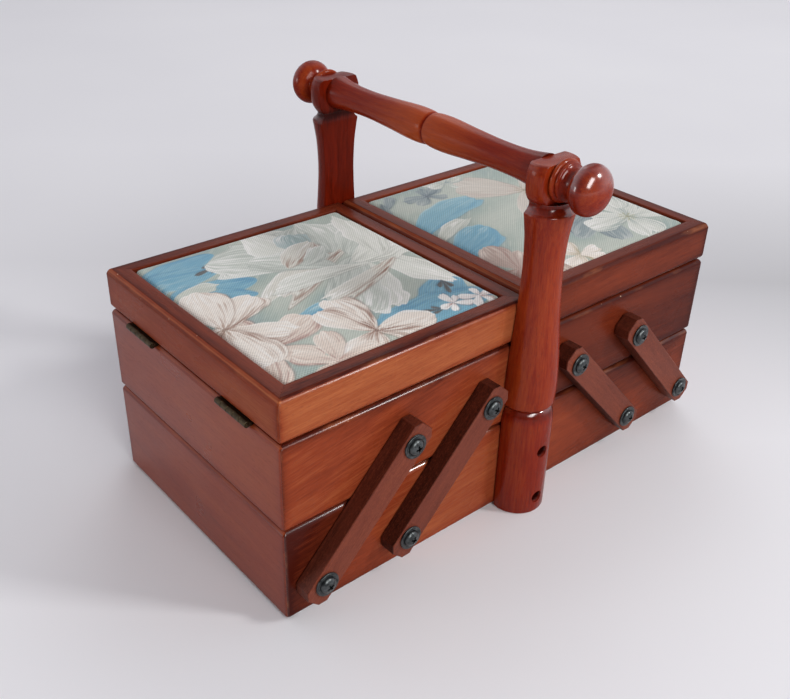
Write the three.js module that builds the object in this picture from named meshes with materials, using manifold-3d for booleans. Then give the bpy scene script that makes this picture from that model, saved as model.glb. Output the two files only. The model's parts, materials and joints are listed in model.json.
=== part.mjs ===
// A wooden cantilever sewing box: one long base, two trays that swing out on eight arms, two padded lids
// on butt hinges and a carrying handle of two posts, a rail and two knobs.
// Millimetres, +Z up. The box's length is X, its front is -Y, and it stands on Z = 0.
import * as THREE from "three";
import { mergeVertices } from "three/addons/utils/BufferGeometryUtils.js";
import Module from "manifold-3d";

const wasm = await Module();
wasm.setup();

// --- driving dimensions -----------------------------------------------------------------------------
const FIT = 0.3; // gap between pieces that touch
const SEAM = 0.5; // gap between base, trays and lids, one above the other
const MIDDLE_GAP = 1.6; // gap between the two trays, and between the two lids

const BOX_LENGTH = 310;
const BOX_DEPTH = 160;
const BASE_HEIGHT = 54.6;
const TRAY_HEIGHT = 48.2;
const LID_HEIGHT = 23.6;
const WALL = 8;
const BOTTOM_THICKNESS = 4;
const BOTTOM_RAISE = 3; // the bottoms sit a little above the walls' lower edge
const BASE_DIVIDER_HEIGHT = 40;
const TRAY_DIVIDER_HEIGHT = 34;
const DIVIDER_THICKNESS = 5;

const LID_RAIL_WIDTH = 10.5;
const LID_PANEL_THICKNESS = 3;
const LID_PANEL_DEPTH = 5; // the lid panel's top, below the lid's rim
const PAD_CLEARANCE = 0.8; // between the pad's edge and the lid frame
const PAD_CROWN = 0.8; // the pad's middle, above the lid's rim

const ARM_THICKNESS = 10;
const ARM_WIDTH = 15.4;
const ARM_OVERHANG = 11.5; // from a pivot to the arm's end
const ARM_CHAMFER = 3.6;
const ARM_GAP = 0.4; // between an arm and the boxes
const ARM_SPACING = 52.2; // between the outer and the inner arm of one face
const ARM_RUN = 52.9; // from the lower to the upper pivot, along X
const LOWER_PIVOT_X = 138.7; // of the outer arm
const LOWER_PIVOT_Z = 22.7;
const UPPER_PIVOT_Z = 79.3;

const SHANK_RADIUS = 2;
const WASHER_RADIUS = 6.5;
const WASHER_HEIGHT = 1.3;
const HEAD_RADIUS = 4.5;
const HEAD_HEIGHT = 2.7;
const SCREW_DEPTH = 6; // into the wall
const CROSS_LENGTH = 4.6;
const CROSS_WIDTH = 1.1;
const CROSS_DEPTH = 1.4;

const HINGE_LENGTH = 26;
const HINGE_OFFSET = 43.5; // from the box's middle to each hinge, along Y
const HINGE_PLATE = 0.9;
const HINGE_LEAF_WIDTH = 6.4;
const HINGE_STANDOFF = 1.2; // from the box's end to the pin's axis
const KNUCKLE_RADIUS = 1.8;
const PIN_RADIUS = 0.7;

const POST_AXIS = BOX_DEPTH / 2 + 3.4; // the post's turning axis, from the box's middle
const POST_FLAT = BOX_DEPTH / 2 + ARM_GAP; // the flat that runs up the post's inner side
const HEAD_OUTER_FLAT = BOX_DEPTH / 2 + 10.4;
const FOOT_RADIUS = 15.3;
const FOOT_TOP = 57;
const GROOVE_Z = 67;
const NECK_Z = 182.4;
const POST_TOP = 202;
const POST_SCREW_HEIGHTS = [10, 41];
const COUNTERBORE_RADIUS = 2.9;
const COUNTERBORE_FLOOR = BOX_DEPTH / 2 + 7;
const POST_SCREW_HEAD_RADIUS = 2.5;
const POST_SCREW_RADIUS = 1.5;

const RAIL_Z = 193.5;
const TENON_RADIUS = 4.7;
const TENON_LENGTH = 4;
const KNOB_CENTRE = 107.2; // of the ball, from the box's middle
const BALL_RADIUS = 12.6;
const BALL_HALF_LENGTH = 8.6;

const TURNED_SEGMENTS = 32; // facets round a turned piece
const SCREW_SEGMENTS = 14;

// --- worked out from the dimensions above ------------------------------------------------------------
const HALF_LENGTH = BOX_LENGTH / 2;
const HALF_DEPTH = BOX_DEPTH / 2;
const TRAY_Z = BASE_HEIGHT + SEAM;
const TRAY_TOP = TRAY_Z + TRAY_HEIGHT;
const LID_Z = TRAY_TOP + SEAM;
const LID_TOP = LID_Z + LID_HEIGHT;
const HINGE_X = HALF_LENGTH + HINGE_STANDOFF;
const HINGE_Z = TRAY_TOP + SEAM / 2;
const ARM_REACH = Math.hypot(ARM_RUN, UPPER_PIVOT_Z - LOWER_PIVOT_Z);
const ARM_LEAN = Math.atan2(ARM_RUN, UPPER_PIVOT_Z - LOWER_PIVOT_Z); // from upright
const ARM_OUTER_FACE = ARM_GAP + ARM_THICKNESS; // from the box's side

// --- materials ----------------------------------------------------------------------------------------
const FINISHES = {
  mahogany: { color: 0x7a2d19, roughness: 0.38, metalness: 0 },
  redMahogany: { color: 0x86301c, roughness: 0.3, metalness: 0 },
  innerWood: { color: 0x93512f, roughness: 0.55, metalness: 0 },
  fabric: { color: 0xb9c2b8, roughness: 0.95, metalness: 0 },
  darkSteel: { color: 0x2b2d2e, roughness: 0.42, metalness: 0.85 },
  agedBrass: { color: 0x54432f, roughness: 0.48, metalness: 0.85 },
};

// --- solids -------------------------------------------------------------------------------------------
// A closed three.js geometry as a manifold-3d solid, for joins and cuts.
function solidOf(geometry) {
  const bare = geometry.clone();
  bare.deleteAttribute("normal");
  bare.deleteAttribute("uv");
  const merged = mergeVertices(bare, 1e-4);
  const mesh = new wasm.Mesh({
    numProp: 3,
    vertProperties: new Float32Array(merged.attributes.position.array),
    triVerts: new Uint32Array(merged.index.array),
  });
  return new wasm.Manifold(mesh);
}

// A manifold-3d solid as a three.js geometry.
function geometryOf(solid) {
  const mesh = solid.getMesh();
  const geometry = new THREE.BufferGeometry();
  geometry.setAttribute("position", new THREE.BufferAttribute(new Float32Array(mesh.vertProperties), 3));
  geometry.setIndex(new THREE.BufferAttribute(new Uint32Array(mesh.triVerts), 1));
  geometry.computeVertexNormals();
  return geometry;
}

function join(...geometries) {
  return geometryOf(geometries.map(solidOf).reduce((whole, next) => whole.add(next)));
}

function cut(geometry, ...tools) {
  return geometryOf(tools.map(solidOf).reduce((whole, tool) => whole.subtract(tool), solidOf(geometry)));
}

// A box given by its lowest and highest corner.
function block([x0, y0, z0], [x1, y1, z1]) {
  const geometry = new THREE.BoxGeometry(x1 - x0, y1 - y0, z1 - z0);
  return geometry.translate((x0 + x1) / 2, (y0 + y1) / 2, (z0 + z1) / 2);
}

// A round bar along Y.
function barY(radius, y0, y1, x, z, segments = SCREW_SEGMENTS) {
  const geometry = new THREE.CylinderGeometry(radius, radius, y1 - y0, segments);
  return geometry.translate(x, (y0 + y1) / 2, z);
}

// A frame of four straight walls with an upright hole: x and y give its outer extent.
function walls([x0, x1], [y0, y1], thickness, bottom, height) {
  const outline = rectangle(new THREE.Shape(), x0, x1, y0, y1);
  const hole = rectangle(new THREE.Path(), x0 + thickness, x1 - thickness, y0 + thickness, y1 - thickness);
  outline.holes.push(hole);
  const geometry = new THREE.ExtrudeGeometry(outline, { depth: height, bevelEnabled: false });
  return geometry.translate(0, 0, bottom);
}

function rectangle(path, x0, x1, y0, y1) {
  path.moveTo(x0, y0);
  path.lineTo(x1, y0);
  path.lineTo(x1, y1);
  path.lineTo(x0, y1);
  path.closePath();
  return path;
}

function piece(name, geometry, finish) {
  const mesh = new THREE.Mesh(geometry, new THREE.MeshStandardMaterial(FINISHES[finish]));
  mesh.name = name;
  return mesh;
}

// --- base -----------------------------------------------------------------------------------------------
// Holes for the screws that go into a wall: pivots are [x, z] pairs, and the wall's outer face is at y = -HALF_DEPTH.
function wallHoles(pivots, radius, depth) {
  return pivots.map(([x, z]) => barY(radius, -HALF_DEPTH - 1, -HALF_DEPTH + depth, x, z));
}

// The front board, with mitred ends; turned half round it is the back board.
function longBoard() {
  const outline = new THREE.Shape();
  outline.moveTo(-HALF_LENGTH, -HALF_DEPTH);
  outline.lineTo(HALF_LENGTH, -HALF_DEPTH);
  outline.lineTo(HALF_LENGTH - WALL, -HALF_DEPTH + WALL);
  outline.lineTo(-HALF_LENGTH + WALL, -HALF_DEPTH + WALL);
  outline.closePath();
  const board = new THREE.ExtrudeGeometry(outline, { depth: BASE_HEIGHT, bevelEnabled: false });
  const pivotXs = [LOWER_PIVOT_X, LOWER_PIVOT_X - ARM_SPACING];
  const pivots = [...pivotXs, ...pivotXs.map((x) => -x)].map((x) => [x, LOWER_PIVOT_Z]);
  const postScrews = POST_SCREW_HEIGHTS.map((z) => [0, z]);
  return cut(
    board,
    ...wallHoles(pivots, SHANK_RADIUS + FIT, SCREW_DEPTH + FIT),
    ...wallHoles(postScrews, POST_SCREW_RADIUS + FIT, SCREW_DEPTH + FIT),
  );
}

// The right end board, with mitred ends; turned half round it is the left one.
function endBoard() {
  const inset = FIT * Math.SQRT2; // keeps the fit gap square across the mitre
  const outline = new THREE.Shape();
  outline.moveTo(HALF_LENGTH, -HALF_DEPTH + inset);
  outline.lineTo(HALF_LENGTH, HALF_DEPTH - inset);
  outline.lineTo(HALF_LENGTH - WALL, HALF_DEPTH - WALL - inset);
  outline.lineTo(HALF_LENGTH - WALL, -HALF_DEPTH + WALL + inset);
  outline.closePath();
  return new THREE.ExtrudeGeometry(outline, { depth: BASE_HEIGHT, bevelEnabled: false });
}

function buildBase() {
  const base = new THREE.Group();
  const inner = WALL + FIT;
  const floorTop = BOTTOM_RAISE + BOTTOM_THICKNESS;
  const bottom = block(
    [-HALF_LENGTH + inner, -HALF_DEPTH + inner, BOTTOM_RAISE],
    [HALF_LENGTH - inner, HALF_DEPTH - inner, floorTop],
  );
  const divider = block(
    [-DIVIDER_THICKNESS / 2, -HALF_DEPTH + inner, floorTop + FIT],
    [DIVIDER_THICKNESS / 2, HALF_DEPTH - inner, floorTop + FIT + BASE_DIVIDER_HEIGHT],
  );
  const frontBoard = piece("base_front_board", longBoard(), "mahogany");
  const backBoard = piece("base_back_board", longBoard(), "mahogany");
  const rightBoard = piece("base_right_board", endBoard(), "mahogany");
  const leftBoard = piece("base_left_board", endBoard(), "mahogany");
  backBoard.rotation.z = Math.PI;
  leftBoard.rotation.z = Math.PI;
  base.add(frontBoard, backBoard, rightBoard, leftBoard);
  base.add(piece("base_bottom_panel", bottom, "innerWood"));
  base.add(piece("base_divider", divider, "innerWood"));
  return base;
}

// --- trays and lids, drawn for the right half -------------------------------------------------------------
const HALF_X = [MIDDLE_GAP / 2, HALF_LENGTH];
const HALF_Y = [-HALF_DEPTH, HALF_DEPTH];

// The slots that let the hinge leaves into the tray's or the lid's edge, between two heights.
function hingeSlots(z0, z1) {
  return [-HINGE_OFFSET, HINGE_OFFSET].map((y) =>
    block(
      [HALF_LENGTH - HINGE_LEAF_WIDTH - FIT, y - HINGE_LENGTH / 2 - FIT, z0],
      [HALF_LENGTH + WALL, y + HINGE_LENGTH / 2 + FIT, z1],
    ),
  );
}

function trayWalls() {
  const shell = walls(HALF_X, HALF_Y, WALL, TRAY_Z, TRAY_HEIGHT);
  const outerX = LOWER_PIVOT_X - ARM_RUN;
  const pivots = [outerX, outerX - ARM_SPACING].map((x) => [x, UPPER_PIVOT_Z]);
  const frontHoles = wallHoles(pivots, SHANK_RADIUS + FIT, SCREW_DEPTH + FIT);
  const backHoles = frontHoles.map((hole) => hole.clone().translate(0, BOX_DEPTH + 1 - SCREW_DEPTH - FIT, 0));
  const slotFloor = HINGE_Z - FIT / 2 - HINGE_PLATE - FIT;
  return cut(shell, ...frontHoles, ...backHoles, ...hingeSlots(slotFloor, LID_Z));
}

function trayBottom() {
  const inner = WALL + FIT;
  return block(
    [HALF_X[0] + inner, -HALF_DEPTH + inner, TRAY_Z + BOTTOM_RAISE],
    [HALF_X[1] - inner, HALF_DEPTH - inner, TRAY_Z + BOTTOM_RAISE + BOTTOM_THICKNESS],
  );
}

function trayDivider() {
  const middle = (HALF_X[0] + HALF_X[1]) / 2;
  const bottom = TRAY_Z + BOTTOM_RAISE + BOTTOM_THICKNESS + FIT;
  return block(
    [middle - DIVIDER_THICKNESS / 2, -HALF_DEPTH + WALL + FIT, bottom],
    [middle + DIVIDER_THICKNESS / 2, HALF_DEPTH - WALL - FIT, bottom + TRAY_DIVIDER_HEIGHT],
  );
}

function lidFrame() {
  const frame = walls(HALF_X, HALF_Y, LID_RAIL_WIDTH, LID_Z, LID_HEIGHT);
  const slotTop = HINGE_Z + FIT / 2 + HINGE_PLATE + FIT;
  return cut(frame, ...hingeSlots(TRAY_TOP, slotTop));
}

function lidPanel() {
  const inner = LID_RAIL_WIDTH + FIT;
  const top = LID_TOP - LID_PANEL_DEPTH;
  return block(
    [HALF_X[0] + inner, -HALF_DEPTH + inner, top - LID_PANEL_THICKNESS],
    [HALF_X[1] - inner, HALF_DEPTH - inner, top],
  );
}

// The pad: a flat cushion whose upper half is drawn in at the edges.
function fabricPad() {
  const inset = LID_RAIL_WIDTH + PAD_CLEARANCE;
  const bottom = LID_TOP - LID_PANEL_DEPTH + FIT;
  const bevel = 1.6;
  const outline = rectangle(
    new THREE.Shape(),
    HALF_X[0] + inset + bevel,
    HALF_X[1] - inset - bevel,
    -HALF_DEPTH + inset + bevel,
    HALF_DEPTH - inset - bevel,
  );
  const height = LID_TOP + PAD_CROWN - bottom;
  const geometry = new THREE.ExtrudeGeometry(outline, {
    depth: height - 2 * bevel,
    bevelThickness: bevel,
    bevelSize: bevel,
    bevelSegments: 3,
  });
  return geometry.translate(0, 0, bottom + bevel);
}

// --- hinges, drawn for the right half -----------------------------------------------------------------------
// The tray's leaf: a plate, the two end knuckles and the pin.
function trayLeaf(y) {
  const top = HINGE_Z - FIT / 2;
  const plate = block(
    [HALF_LENGTH - HINGE_LEAF_WIDTH, y - HINGE_LENGTH / 2, top - HINGE_PLATE],
    [HINGE_X, y + HINGE_LENGTH / 2, top],
  );
  const third = HINGE_LENGTH / 6;
  const room = barY(KNUCKLE_RADIUS + FIT, y - third - FIT, y + third + FIT, HINGE_X, HINGE_Z);
  const knuckles = [-1, 1].map((end) => {
    const ends = [y + end * (third + FIT), y + (end * HINGE_LENGTH) / 2].sort((a, b) => a - b);
    return barY(KNUCKLE_RADIUS, ends[0], ends[1], HINGE_X, HINGE_Z);
  });
  const pin = barY(PIN_RADIUS, y - HINGE_LENGTH / 2 + 1, y + HINGE_LENGTH / 2 - 1, HINGE_X, HINGE_Z, 12);
  return join(cut(plate, room), ...knuckles, pin);
}

// The lid's leaf: a plate and the middle knuckle, bored for the pin.
function lidLeaf(y) {
  const bottom = HINGE_Z + FIT / 2;
  const plate = block(
    [HALF_LENGTH - HINGE_LEAF_WIDTH, y - HINGE_LENGTH / 2, bottom],
    [HINGE_X, y + HINGE_LENGTH / 2, bottom + HINGE_PLATE],
  );
  const third = HINGE_LENGTH / 6;
  const rooms = [-1, 1].map((end) => {
    const ends = [y + end * third, y + end * (HINGE_LENGTH / 2 + 1)].sort((a, b) => a - b);
    return barY(KNUCKLE_RADIUS + FIT, ends[0], ends[1], HINGE_X, HINGE_Z);
  });
  const knuckle = barY(KNUCKLE_RADIUS, y - third, y + third, HINGE_X, HINGE_Z);
  const bore = barY(PIN_RADIUS + FIT, y - HINGE_LENGTH, y + HINGE_LENGTH, HINGE_X, HINGE_Z, 12);
  return cut(join(cut(plate, ...rooms), knuckle), bore);
}

// --- arms and their screws -------------------------------------------------------------------------------------
// An arm from its lower pivot at the origin up along +Z, its inner face at y = 0 and its body on the -Y side.
function armBar() {
  const half = ARM_WIDTH / 2;
  const shoulder = half - ARM_CHAMFER;
  const outline = new THREE.Shape();
  outline.moveTo(-shoulder, -ARM_OVERHANG);
  outline.lineTo(shoulder, -ARM_OVERHANG);
  outline.lineTo(half, -ARM_OVERHANG + ARM_CHAMFER);
  outline.lineTo(half, ARM_REACH + ARM_OVERHANG - ARM_CHAMFER);
  outline.lineTo(shoulder, ARM_REACH + ARM_OVERHANG);
  outline.lineTo(-shoulder, ARM_REACH + ARM_OVERHANG);
  outline.lineTo(-half, ARM_REACH + ARM_OVERHANG - ARM_CHAMFER);
  outline.lineTo(-half, -ARM_OVERHANG + ARM_CHAMFER);
  outline.closePath();
  for (const height of [0, ARM_REACH]) {
    const hole = new THREE.Path();
    hole.absarc(0, height, SHANK_RADIUS + FIT, 0, 2 * Math.PI, true);
    outline.holes.push(hole);
  }
  const settings = { depth: ARM_THICKNESS, bevelEnabled: false, curveSegments: SCREW_SEGMENTS };
  return new THREE.ExtrudeGeometry(outline, settings).rotateX(Math.PI / 2);
}

// A round-head screw with its cup washer. The wall's face is at y = 0 and the head points to -Y.
function pivotScrew() {
  const seat = ARM_OUTER_FACE + FIT;
  const rim = seat + WASHER_HEIGHT;
  const profile = [
    [0, SCREW_DEPTH],
    [SHANK_RADIUS * 0.5, SCREW_DEPTH],
    [SHANK_RADIUS, SCREW_DEPTH - 1.5],
    [SHANK_RADIUS, -seat],
    [WASHER_RADIUS, -seat],
    [WASHER_RADIUS - 0.5, -seat - WASHER_HEIGHT * 0.7],
    [HEAD_RADIUS + 0.6, -rim],
    [HEAD_RADIUS, -rim + 0.3],
    [HEAD_RADIUS * 0.86, -rim - HEAD_HEIGHT * 0.5],
    [HEAD_RADIUS * 0.5, -rim - HEAD_HEIGHT * 0.72],
    [0, -rim - HEAD_HEIGHT * 0.8],
  ].map(([r, y]) => new THREE.Vector2(r, y));
  const body = new THREE.LatheGeometry(profile.reverse(), SCREW_SEGMENTS);
  const crossFloor = -rim - HEAD_HEIGHT * 0.8 + CROSS_DEPTH;
  const slots = [
    [CROSS_LENGTH / 2, CROSS_WIDTH / 2],
    [CROSS_WIDTH / 2, CROSS_LENGTH / 2],
  ].map(([halfX, halfZ]) => block([-halfX, -rim - HEAD_HEIGHT, -halfZ], [halfX, crossFloor, halfZ]));
  return cut(body, ...slots);
}

function buildArm(prefix, pivotX, faceSign) {
  const holder = new THREE.Group();
  const arm = piece(prefix + "_arm", armBar(), "mahogany");
  arm.position.set(pivotX, 0, LOWER_PIVOT_Z);
  arm.rotation.y = -ARM_LEAN;
  const lower = piece(prefix + "_lower_pivot_screw", pivotScrew(), "darkSteel");
  const upper = piece(prefix + "_upper_pivot_screw", pivotScrew(), "darkSteel");
  lower.position.set(pivotX, 0, LOWER_PIVOT_Z);
  upper.position.set(pivotX - ARM_RUN, 0, UPPER_PIVOT_Z);
  arm.position.y = faceSign * (HALF_DEPTH + ARM_GAP);
  lower.position.y = faceSign * HALF_DEPTH;
  upper.position.y = faceSign * HALF_DEPTH;
  if (faceSign > 0) {
    arm.position.y += ARM_THICKNESS;
    lower.rotation.x = Math.PI;
    upper.rotation.x = Math.PI;
  }
  holder.add(arm, lower, upper);
  return holder;
}

// One half of the box, drawn at +X; the left half is the same turned half round, so its -Y face is the back.
function buildHalf(side) {
  const half = new THREE.Group();
  const turned = side === "left";
  half.rotation.z = turned ? Math.PI : 0;
  half.add(piece(side + "_tray_walls", trayWalls(), "mahogany"));
  half.add(piece(side + "_tray_bottom", trayBottom(), "innerWood"));
  half.add(piece(side + "_tray_divider", trayDivider(), "innerWood"));
  half.add(piece(side + "_lid_frame", lidFrame(), "mahogany"));
  half.add(piece(side + "_lid_panel", lidPanel(), "innerWood"));
  half.add(piece(side + "_lid_fabric_pad", fabricPad(), "fabric"));
  for (const faceSign of [-1, 1]) {
    const face = faceSign < 0 !== turned ? "front" : "back";
    const label = side + "_" + face;
    half.add(piece(label + "_hinge_tray_leaf", trayLeaf(faceSign * HINGE_OFFSET), "agedBrass"));
    half.add(piece(label + "_hinge_lid_leaf", lidLeaf(faceSign * HINGE_OFFSET), "agedBrass"));
    half.add(buildArm(label + "_outer", LOWER_PIVOT_X, faceSign));
    half.add(buildArm(label + "_inner", LOWER_PIVOT_X - ARM_SPACING, faceSign));
  }
  return half;
}

// --- handle, drawn for the front ----------------------------------------------------------------------------------
const turn = (points, segments = TURNED_SEGMENTS) =>
  new THREE.LatheGeometry(points.map(([r, y]) => new THREE.Vector2(r, y)), segments);

const smooth = (points, steps) =>
  new THREE.SplineCurve(points.map(([r, y]) => new THREE.Vector2(r, y)))
    .getPoints(steps)
    .map((point) => [point.x, point.y]);

// The post's outline from its foot up, as [radius, height] pairs.
function postOutline() {
  const foot = [[0, 0], [FOOT_RADIUS - 0.8, 0], [FOOT_RADIUS, 0.8], [FOOT_RADIUS, FOOT_TOP]];
  const shoulder = smooth([[15, 60.5], [13.9, 64.6], [12, GROOVE_Z]], 4);
  const belly = smooth([[14.8, 69.8], [15.3, 79], [14.4, 97], [12.3, 121], [11.1, 145], [11.7, 162], [13.1, 172]], 14);
  const lip = smooth([[13.9, 176.4], [13.3, 178.8], [11.4, NECK_Z]], 4);
  const head = smooth([[12.9, 185], [14.5, 188.5], [14.7, 193], [13.9, 198], [12.6, POST_TOP]], 8);
  return [...foot, ...shoulder, ...belly, ...lip, ...head, [0, POST_TOP]];
}

function post() {
  const turned = turn(postOutline()).rotateX(Math.PI / 2).translate(0, -POST_AXIS, 0);
  const reach = 2 * FOOT_RADIUS;
  const innerSide = block([-reach, -POST_FLAT, -1], [reach, reach, POST_TOP + 1]);
  const outerSide = block([-reach, -POST_AXIS - reach, NECK_Z], [reach, -HEAD_OUTER_FLAT, POST_TOP + 1]);
  const socket = barY(TENON_RADIUS + FIT, -POST_AXIS - reach, 0, 0, RAIL_Z);
  const bores = POST_SCREW_HEIGHTS.flatMap((z) => [
    barY(COUNTERBORE_RADIUS, -POST_AXIS - reach, -COUNTERBORE_FLOOR, 0, z),
    barY(POST_SCREW_RADIUS + FIT, -POST_AXIS - reach, 0, 0, z),
  ]);
  return cut(turned, innerSide, outerSide, socket, ...bores);
}

// A countersunk-hole screw through the post's foot into the base, its wall's face at y = 0.
function postScrew() {
  const seat = COUNTERBORE_FLOOR - HALF_DEPTH + FIT;
  const crown = seat + 1.6;
  const body = turn(
    [
      [0, -crown],
      [POST_SCREW_HEAD_RADIUS * 0.7, -crown],
      [POST_SCREW_HEAD_RADIUS, -seat - 0.6],
      [POST_SCREW_HEAD_RADIUS, -seat],
      [POST_SCREW_RADIUS, -seat],
      [POST_SCREW_RADIUS, SCREW_DEPTH - 1.5],
      [0, SCREW_DEPTH],
    ],
    SCREW_SEGMENTS,
  );
  const slots = [[1.5, 0.4], [0.4, 1.5]].map(([halfX, halfZ]) =>
    block([-halfX, -crown - 1, -halfZ], [halfX, -crown + 0.8, halfZ]),
  );
  return cut(body, ...slots);
}

// A knob: tenon, beaded collar, neck and flattened ball. Its axis is Y and it points to -Y.
function knob() {
  const face = HEAD_OUTER_FLAT + FIT;
  const beads = [
    ...smooth([[10, face], [10.7, face + 1.3], [9.9, face + 2.8]], 4),
    ...smooth([[9.3, face + 3.2], [9.7, face + 4], [9, face + 5]], 4),
  ];
  const neckEnd = face + 10;
  const neck = smooth([[8.5, face + 5.4], [7.5, face + 6.8], [7.2, face + 8.4], [7.6, neckEnd]], 4);
  const ball = [];
  const first = Math.asin((KNOB_CENTRE - neckEnd) / BALL_HALF_LENGTH);
  for (let step = 1; step <= 10; step++) {
    const angle = -first + ((Math.PI / 2 + first) * step) / 10;
    ball.push([step < 10 ? BALL_RADIUS * Math.cos(angle) : 0, KNOB_CENTRE + BALL_HALF_LENGTH * Math.sin(angle)]);
  }
  const tenonEnd = face - TENON_LENGTH;
  const outline = [[0, tenonEnd], [TENON_RADIUS, tenonEnd], [TENON_RADIUS, face], ...beads, ...neck, ...ball];
  return turn(outline, TURNED_SEGMENTS).rotateZ(Math.PI).translate(0, 0, RAIL_Z);
}

// The rail between the posts: two balusters with a groove between them, and a tenon at each end.
function handleRail() {
  const shoulder = POST_FLAT - FIT;
  const tenonEnd = shoulder + TENON_LENGTH;
  const half = [
    [8, 0],
    ...smooth([[8.8, 1.2], [9.2, 13], [8.2, 31], [7.4, 50], [7.8, 67], [9.6, shoulder]], 14),
    [TENON_RADIUS, shoulder],
    [TENON_RADIUS, tenonEnd],
    [0, tenonEnd],
  ];
  const mirrored = half.slice(1).map(([r, y]) => [r, -y]).reverse();
  return turn([...mirrored, ...half]).translate(0, 0, RAIL_Z);
}

function buildPost(side) {
  const group = new THREE.Group();
  group.rotation.z = side === "back" ? Math.PI : 0;
  group.add(piece(side + "_post", post(), "redMahogany"));
  group.add(piece(side + "_knob", knob(), "redMahogany"));
  POST_SCREW_HEIGHTS.forEach((z, index) => {
    const screw = piece(side + "_post_screw_" + ["lower", "upper"][index], postScrew(), "darkSteel");
    screw.position.set(0, -HALF_DEPTH, z);
    group.add(screw);
  });
  return group;
}

// --- the whole box --------------------------------------------------------------------------------------------------
const sewingBox = new THREE.Group();
sewingBox.add(buildBase());
sewingBox.add(buildHalf("right"), buildHalf("left"));
sewingBox.add(buildPost("front"), buildPost("back"));
sewingBox.add(piece("handle_rail", handleRail(), "redMahogany"));

export default sewingBox;
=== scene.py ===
"""The looks of a wooden cantilever sewing box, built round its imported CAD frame.

Metres, +Z up. The box's length is X and its front is -Y. Outlines of turned pieces are in millimetres.
"""

import json
import math

import bmesh
import bpy
import numpy as np
from mathutils import Matrix, Vector


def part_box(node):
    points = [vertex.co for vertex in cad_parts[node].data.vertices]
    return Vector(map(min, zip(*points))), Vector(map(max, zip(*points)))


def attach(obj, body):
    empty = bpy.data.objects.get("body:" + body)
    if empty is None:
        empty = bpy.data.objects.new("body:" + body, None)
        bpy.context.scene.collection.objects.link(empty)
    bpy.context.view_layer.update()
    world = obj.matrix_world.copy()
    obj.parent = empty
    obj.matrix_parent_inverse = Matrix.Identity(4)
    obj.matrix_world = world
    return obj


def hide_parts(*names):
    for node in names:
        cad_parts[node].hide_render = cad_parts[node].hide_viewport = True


MM = 0.001
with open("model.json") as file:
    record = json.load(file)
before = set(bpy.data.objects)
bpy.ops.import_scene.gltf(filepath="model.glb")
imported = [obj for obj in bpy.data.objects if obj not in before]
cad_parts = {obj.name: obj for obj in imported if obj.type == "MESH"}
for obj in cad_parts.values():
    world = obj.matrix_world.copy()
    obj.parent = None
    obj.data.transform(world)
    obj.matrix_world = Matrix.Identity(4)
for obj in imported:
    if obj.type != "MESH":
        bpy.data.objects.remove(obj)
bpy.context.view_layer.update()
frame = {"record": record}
BODY_OF = {node: body for body, nodes in frame["record"]["behaviour"]["bodies"].items() for node in nodes}
SIDES = {"left": -1, "right": 1}  # each one's direction along X
FACES = {"front": -1, "back": 1}  # each one's direction along Y
WALLS = ("front", "right", "back", "left")

# --- sizes the frame doesn't give
BOARD_THICKNESS = 8 * MM
LID_RAIL_WIDTH = 10.5 * MM
CORNER_RADIUS = 2.0 * MM  # of the boxes' upright corners
EDGE_RADIUS = 2.3 * MM  # of the boxes' outer edges
LID_EDGE_RADIUS = 3.0 * MM
INNER_EDGE_RADIUS = 0.7 * MM
SHADE_RINGS = (1.2 * MM, 3.2 * MM, 6.5 * MM)  # from the eased edges, where the painted shade along the edges changes
EDGE_FLATNESS = 1.45  # the exponent of an edge's outline: 1 is a flat chamfer and 2 a quarter circle
MITRE_GAP = 0.05 * MM
EDGE_SHADE = 0.4  # how much darker the tone is along a board's edges, as painted shade that reads as the seams between boxes
EDGE_SHADE_REACH = 2.6 * MM
LEFT_RIM_HIGHLIGHT = 0.75  # how much lighter it is in a line along the left end's top rim: a painted highlight, where the finish is also thin
MORTISE_EASE = Vector((0.35, 0.35, 1.3)) * MM  # round the hinges' leaves, and up and down from their middle
SHARP_ANGLE = math.radians(32)  # edges that turn more than this stay sharp
METAL_SHARP_ANGLE = math.radians(40)

ARM_WIDTH = 15.4 * MM
ARM_OVERHANG = 11.5 * MM
ARM_CHAMFER = 3.6 * MM
ARM_EDGE_RADIUS = 0.6 * MM
ARM_SIDE_SHADES = {"outer": 0.4, "inner": 0.75}  # how much darker the tone is on an arm's narrow sides: painted shade, deeper on the inner arms, which the outer arms shade


# --- small helpers
def srgb(red, green, blue):
    """A colour given as 0 to 255 screen values, as linear RGBA."""
    screen = [value / 255 for value in (red, green, blue)]
    linear = [v / 12.92 if v <= 0.04045 else ((v + 0.055) / 1.055) ** 2.4 for v in screen]
    return (*linear, 1.0)


def middle(node):
    """The middle of a CAD node's box."""
    low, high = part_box(node)
    return (low + high) / 2


def outer_y(node, sign):
    """Y of the side of a CAD node's box that faces away from the object's middle."""
    low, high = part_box(node)
    return low.y if sign < 0 else high.y


def link(name, data):
    """A new object in the scene."""
    made = bpy.data.objects.new(name, data)
    bpy.context.scene.collection.objects.link(made)
    return made


def ring_faces(rows, count):
    """The faces of a closed skin through rows of count points each, with a flat face on both ends."""
    faces = [tuple(range(count)), tuple(range((rows - 1) * count, rows * count))]
    for row in range(rows - 1):
        for k in range(count):
            a, b = row * count + k, row * count + (k + 1) % count
            faces.append((a, b, b + count, a + count))
    return faces


def make_object(name, points, faces, material, sharp_angle=SHARP_ANGLE):
    """A solid of one material, shaded smooth between its sharp edges."""
    mesh = bpy.data.meshes.new(name)
    mesh.from_pydata([tuple(p) for p in points], [], faces)
    solid = bmesh.new()
    solid.from_mesh(mesh)
    bmesh.ops.remove_doubles(solid, verts=solid.verts, dist=1e-7)
    bmesh.ops.recalc_face_normals(solid, faces=solid.faces)
    solid.to_mesh(mesh)
    solid.free()
    mesh.shade_smooth()
    mesh.set_sharp_from_angle(angle=sharp_angle)
    mesh.materials.append(material)
    return link(name, mesh)


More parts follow.
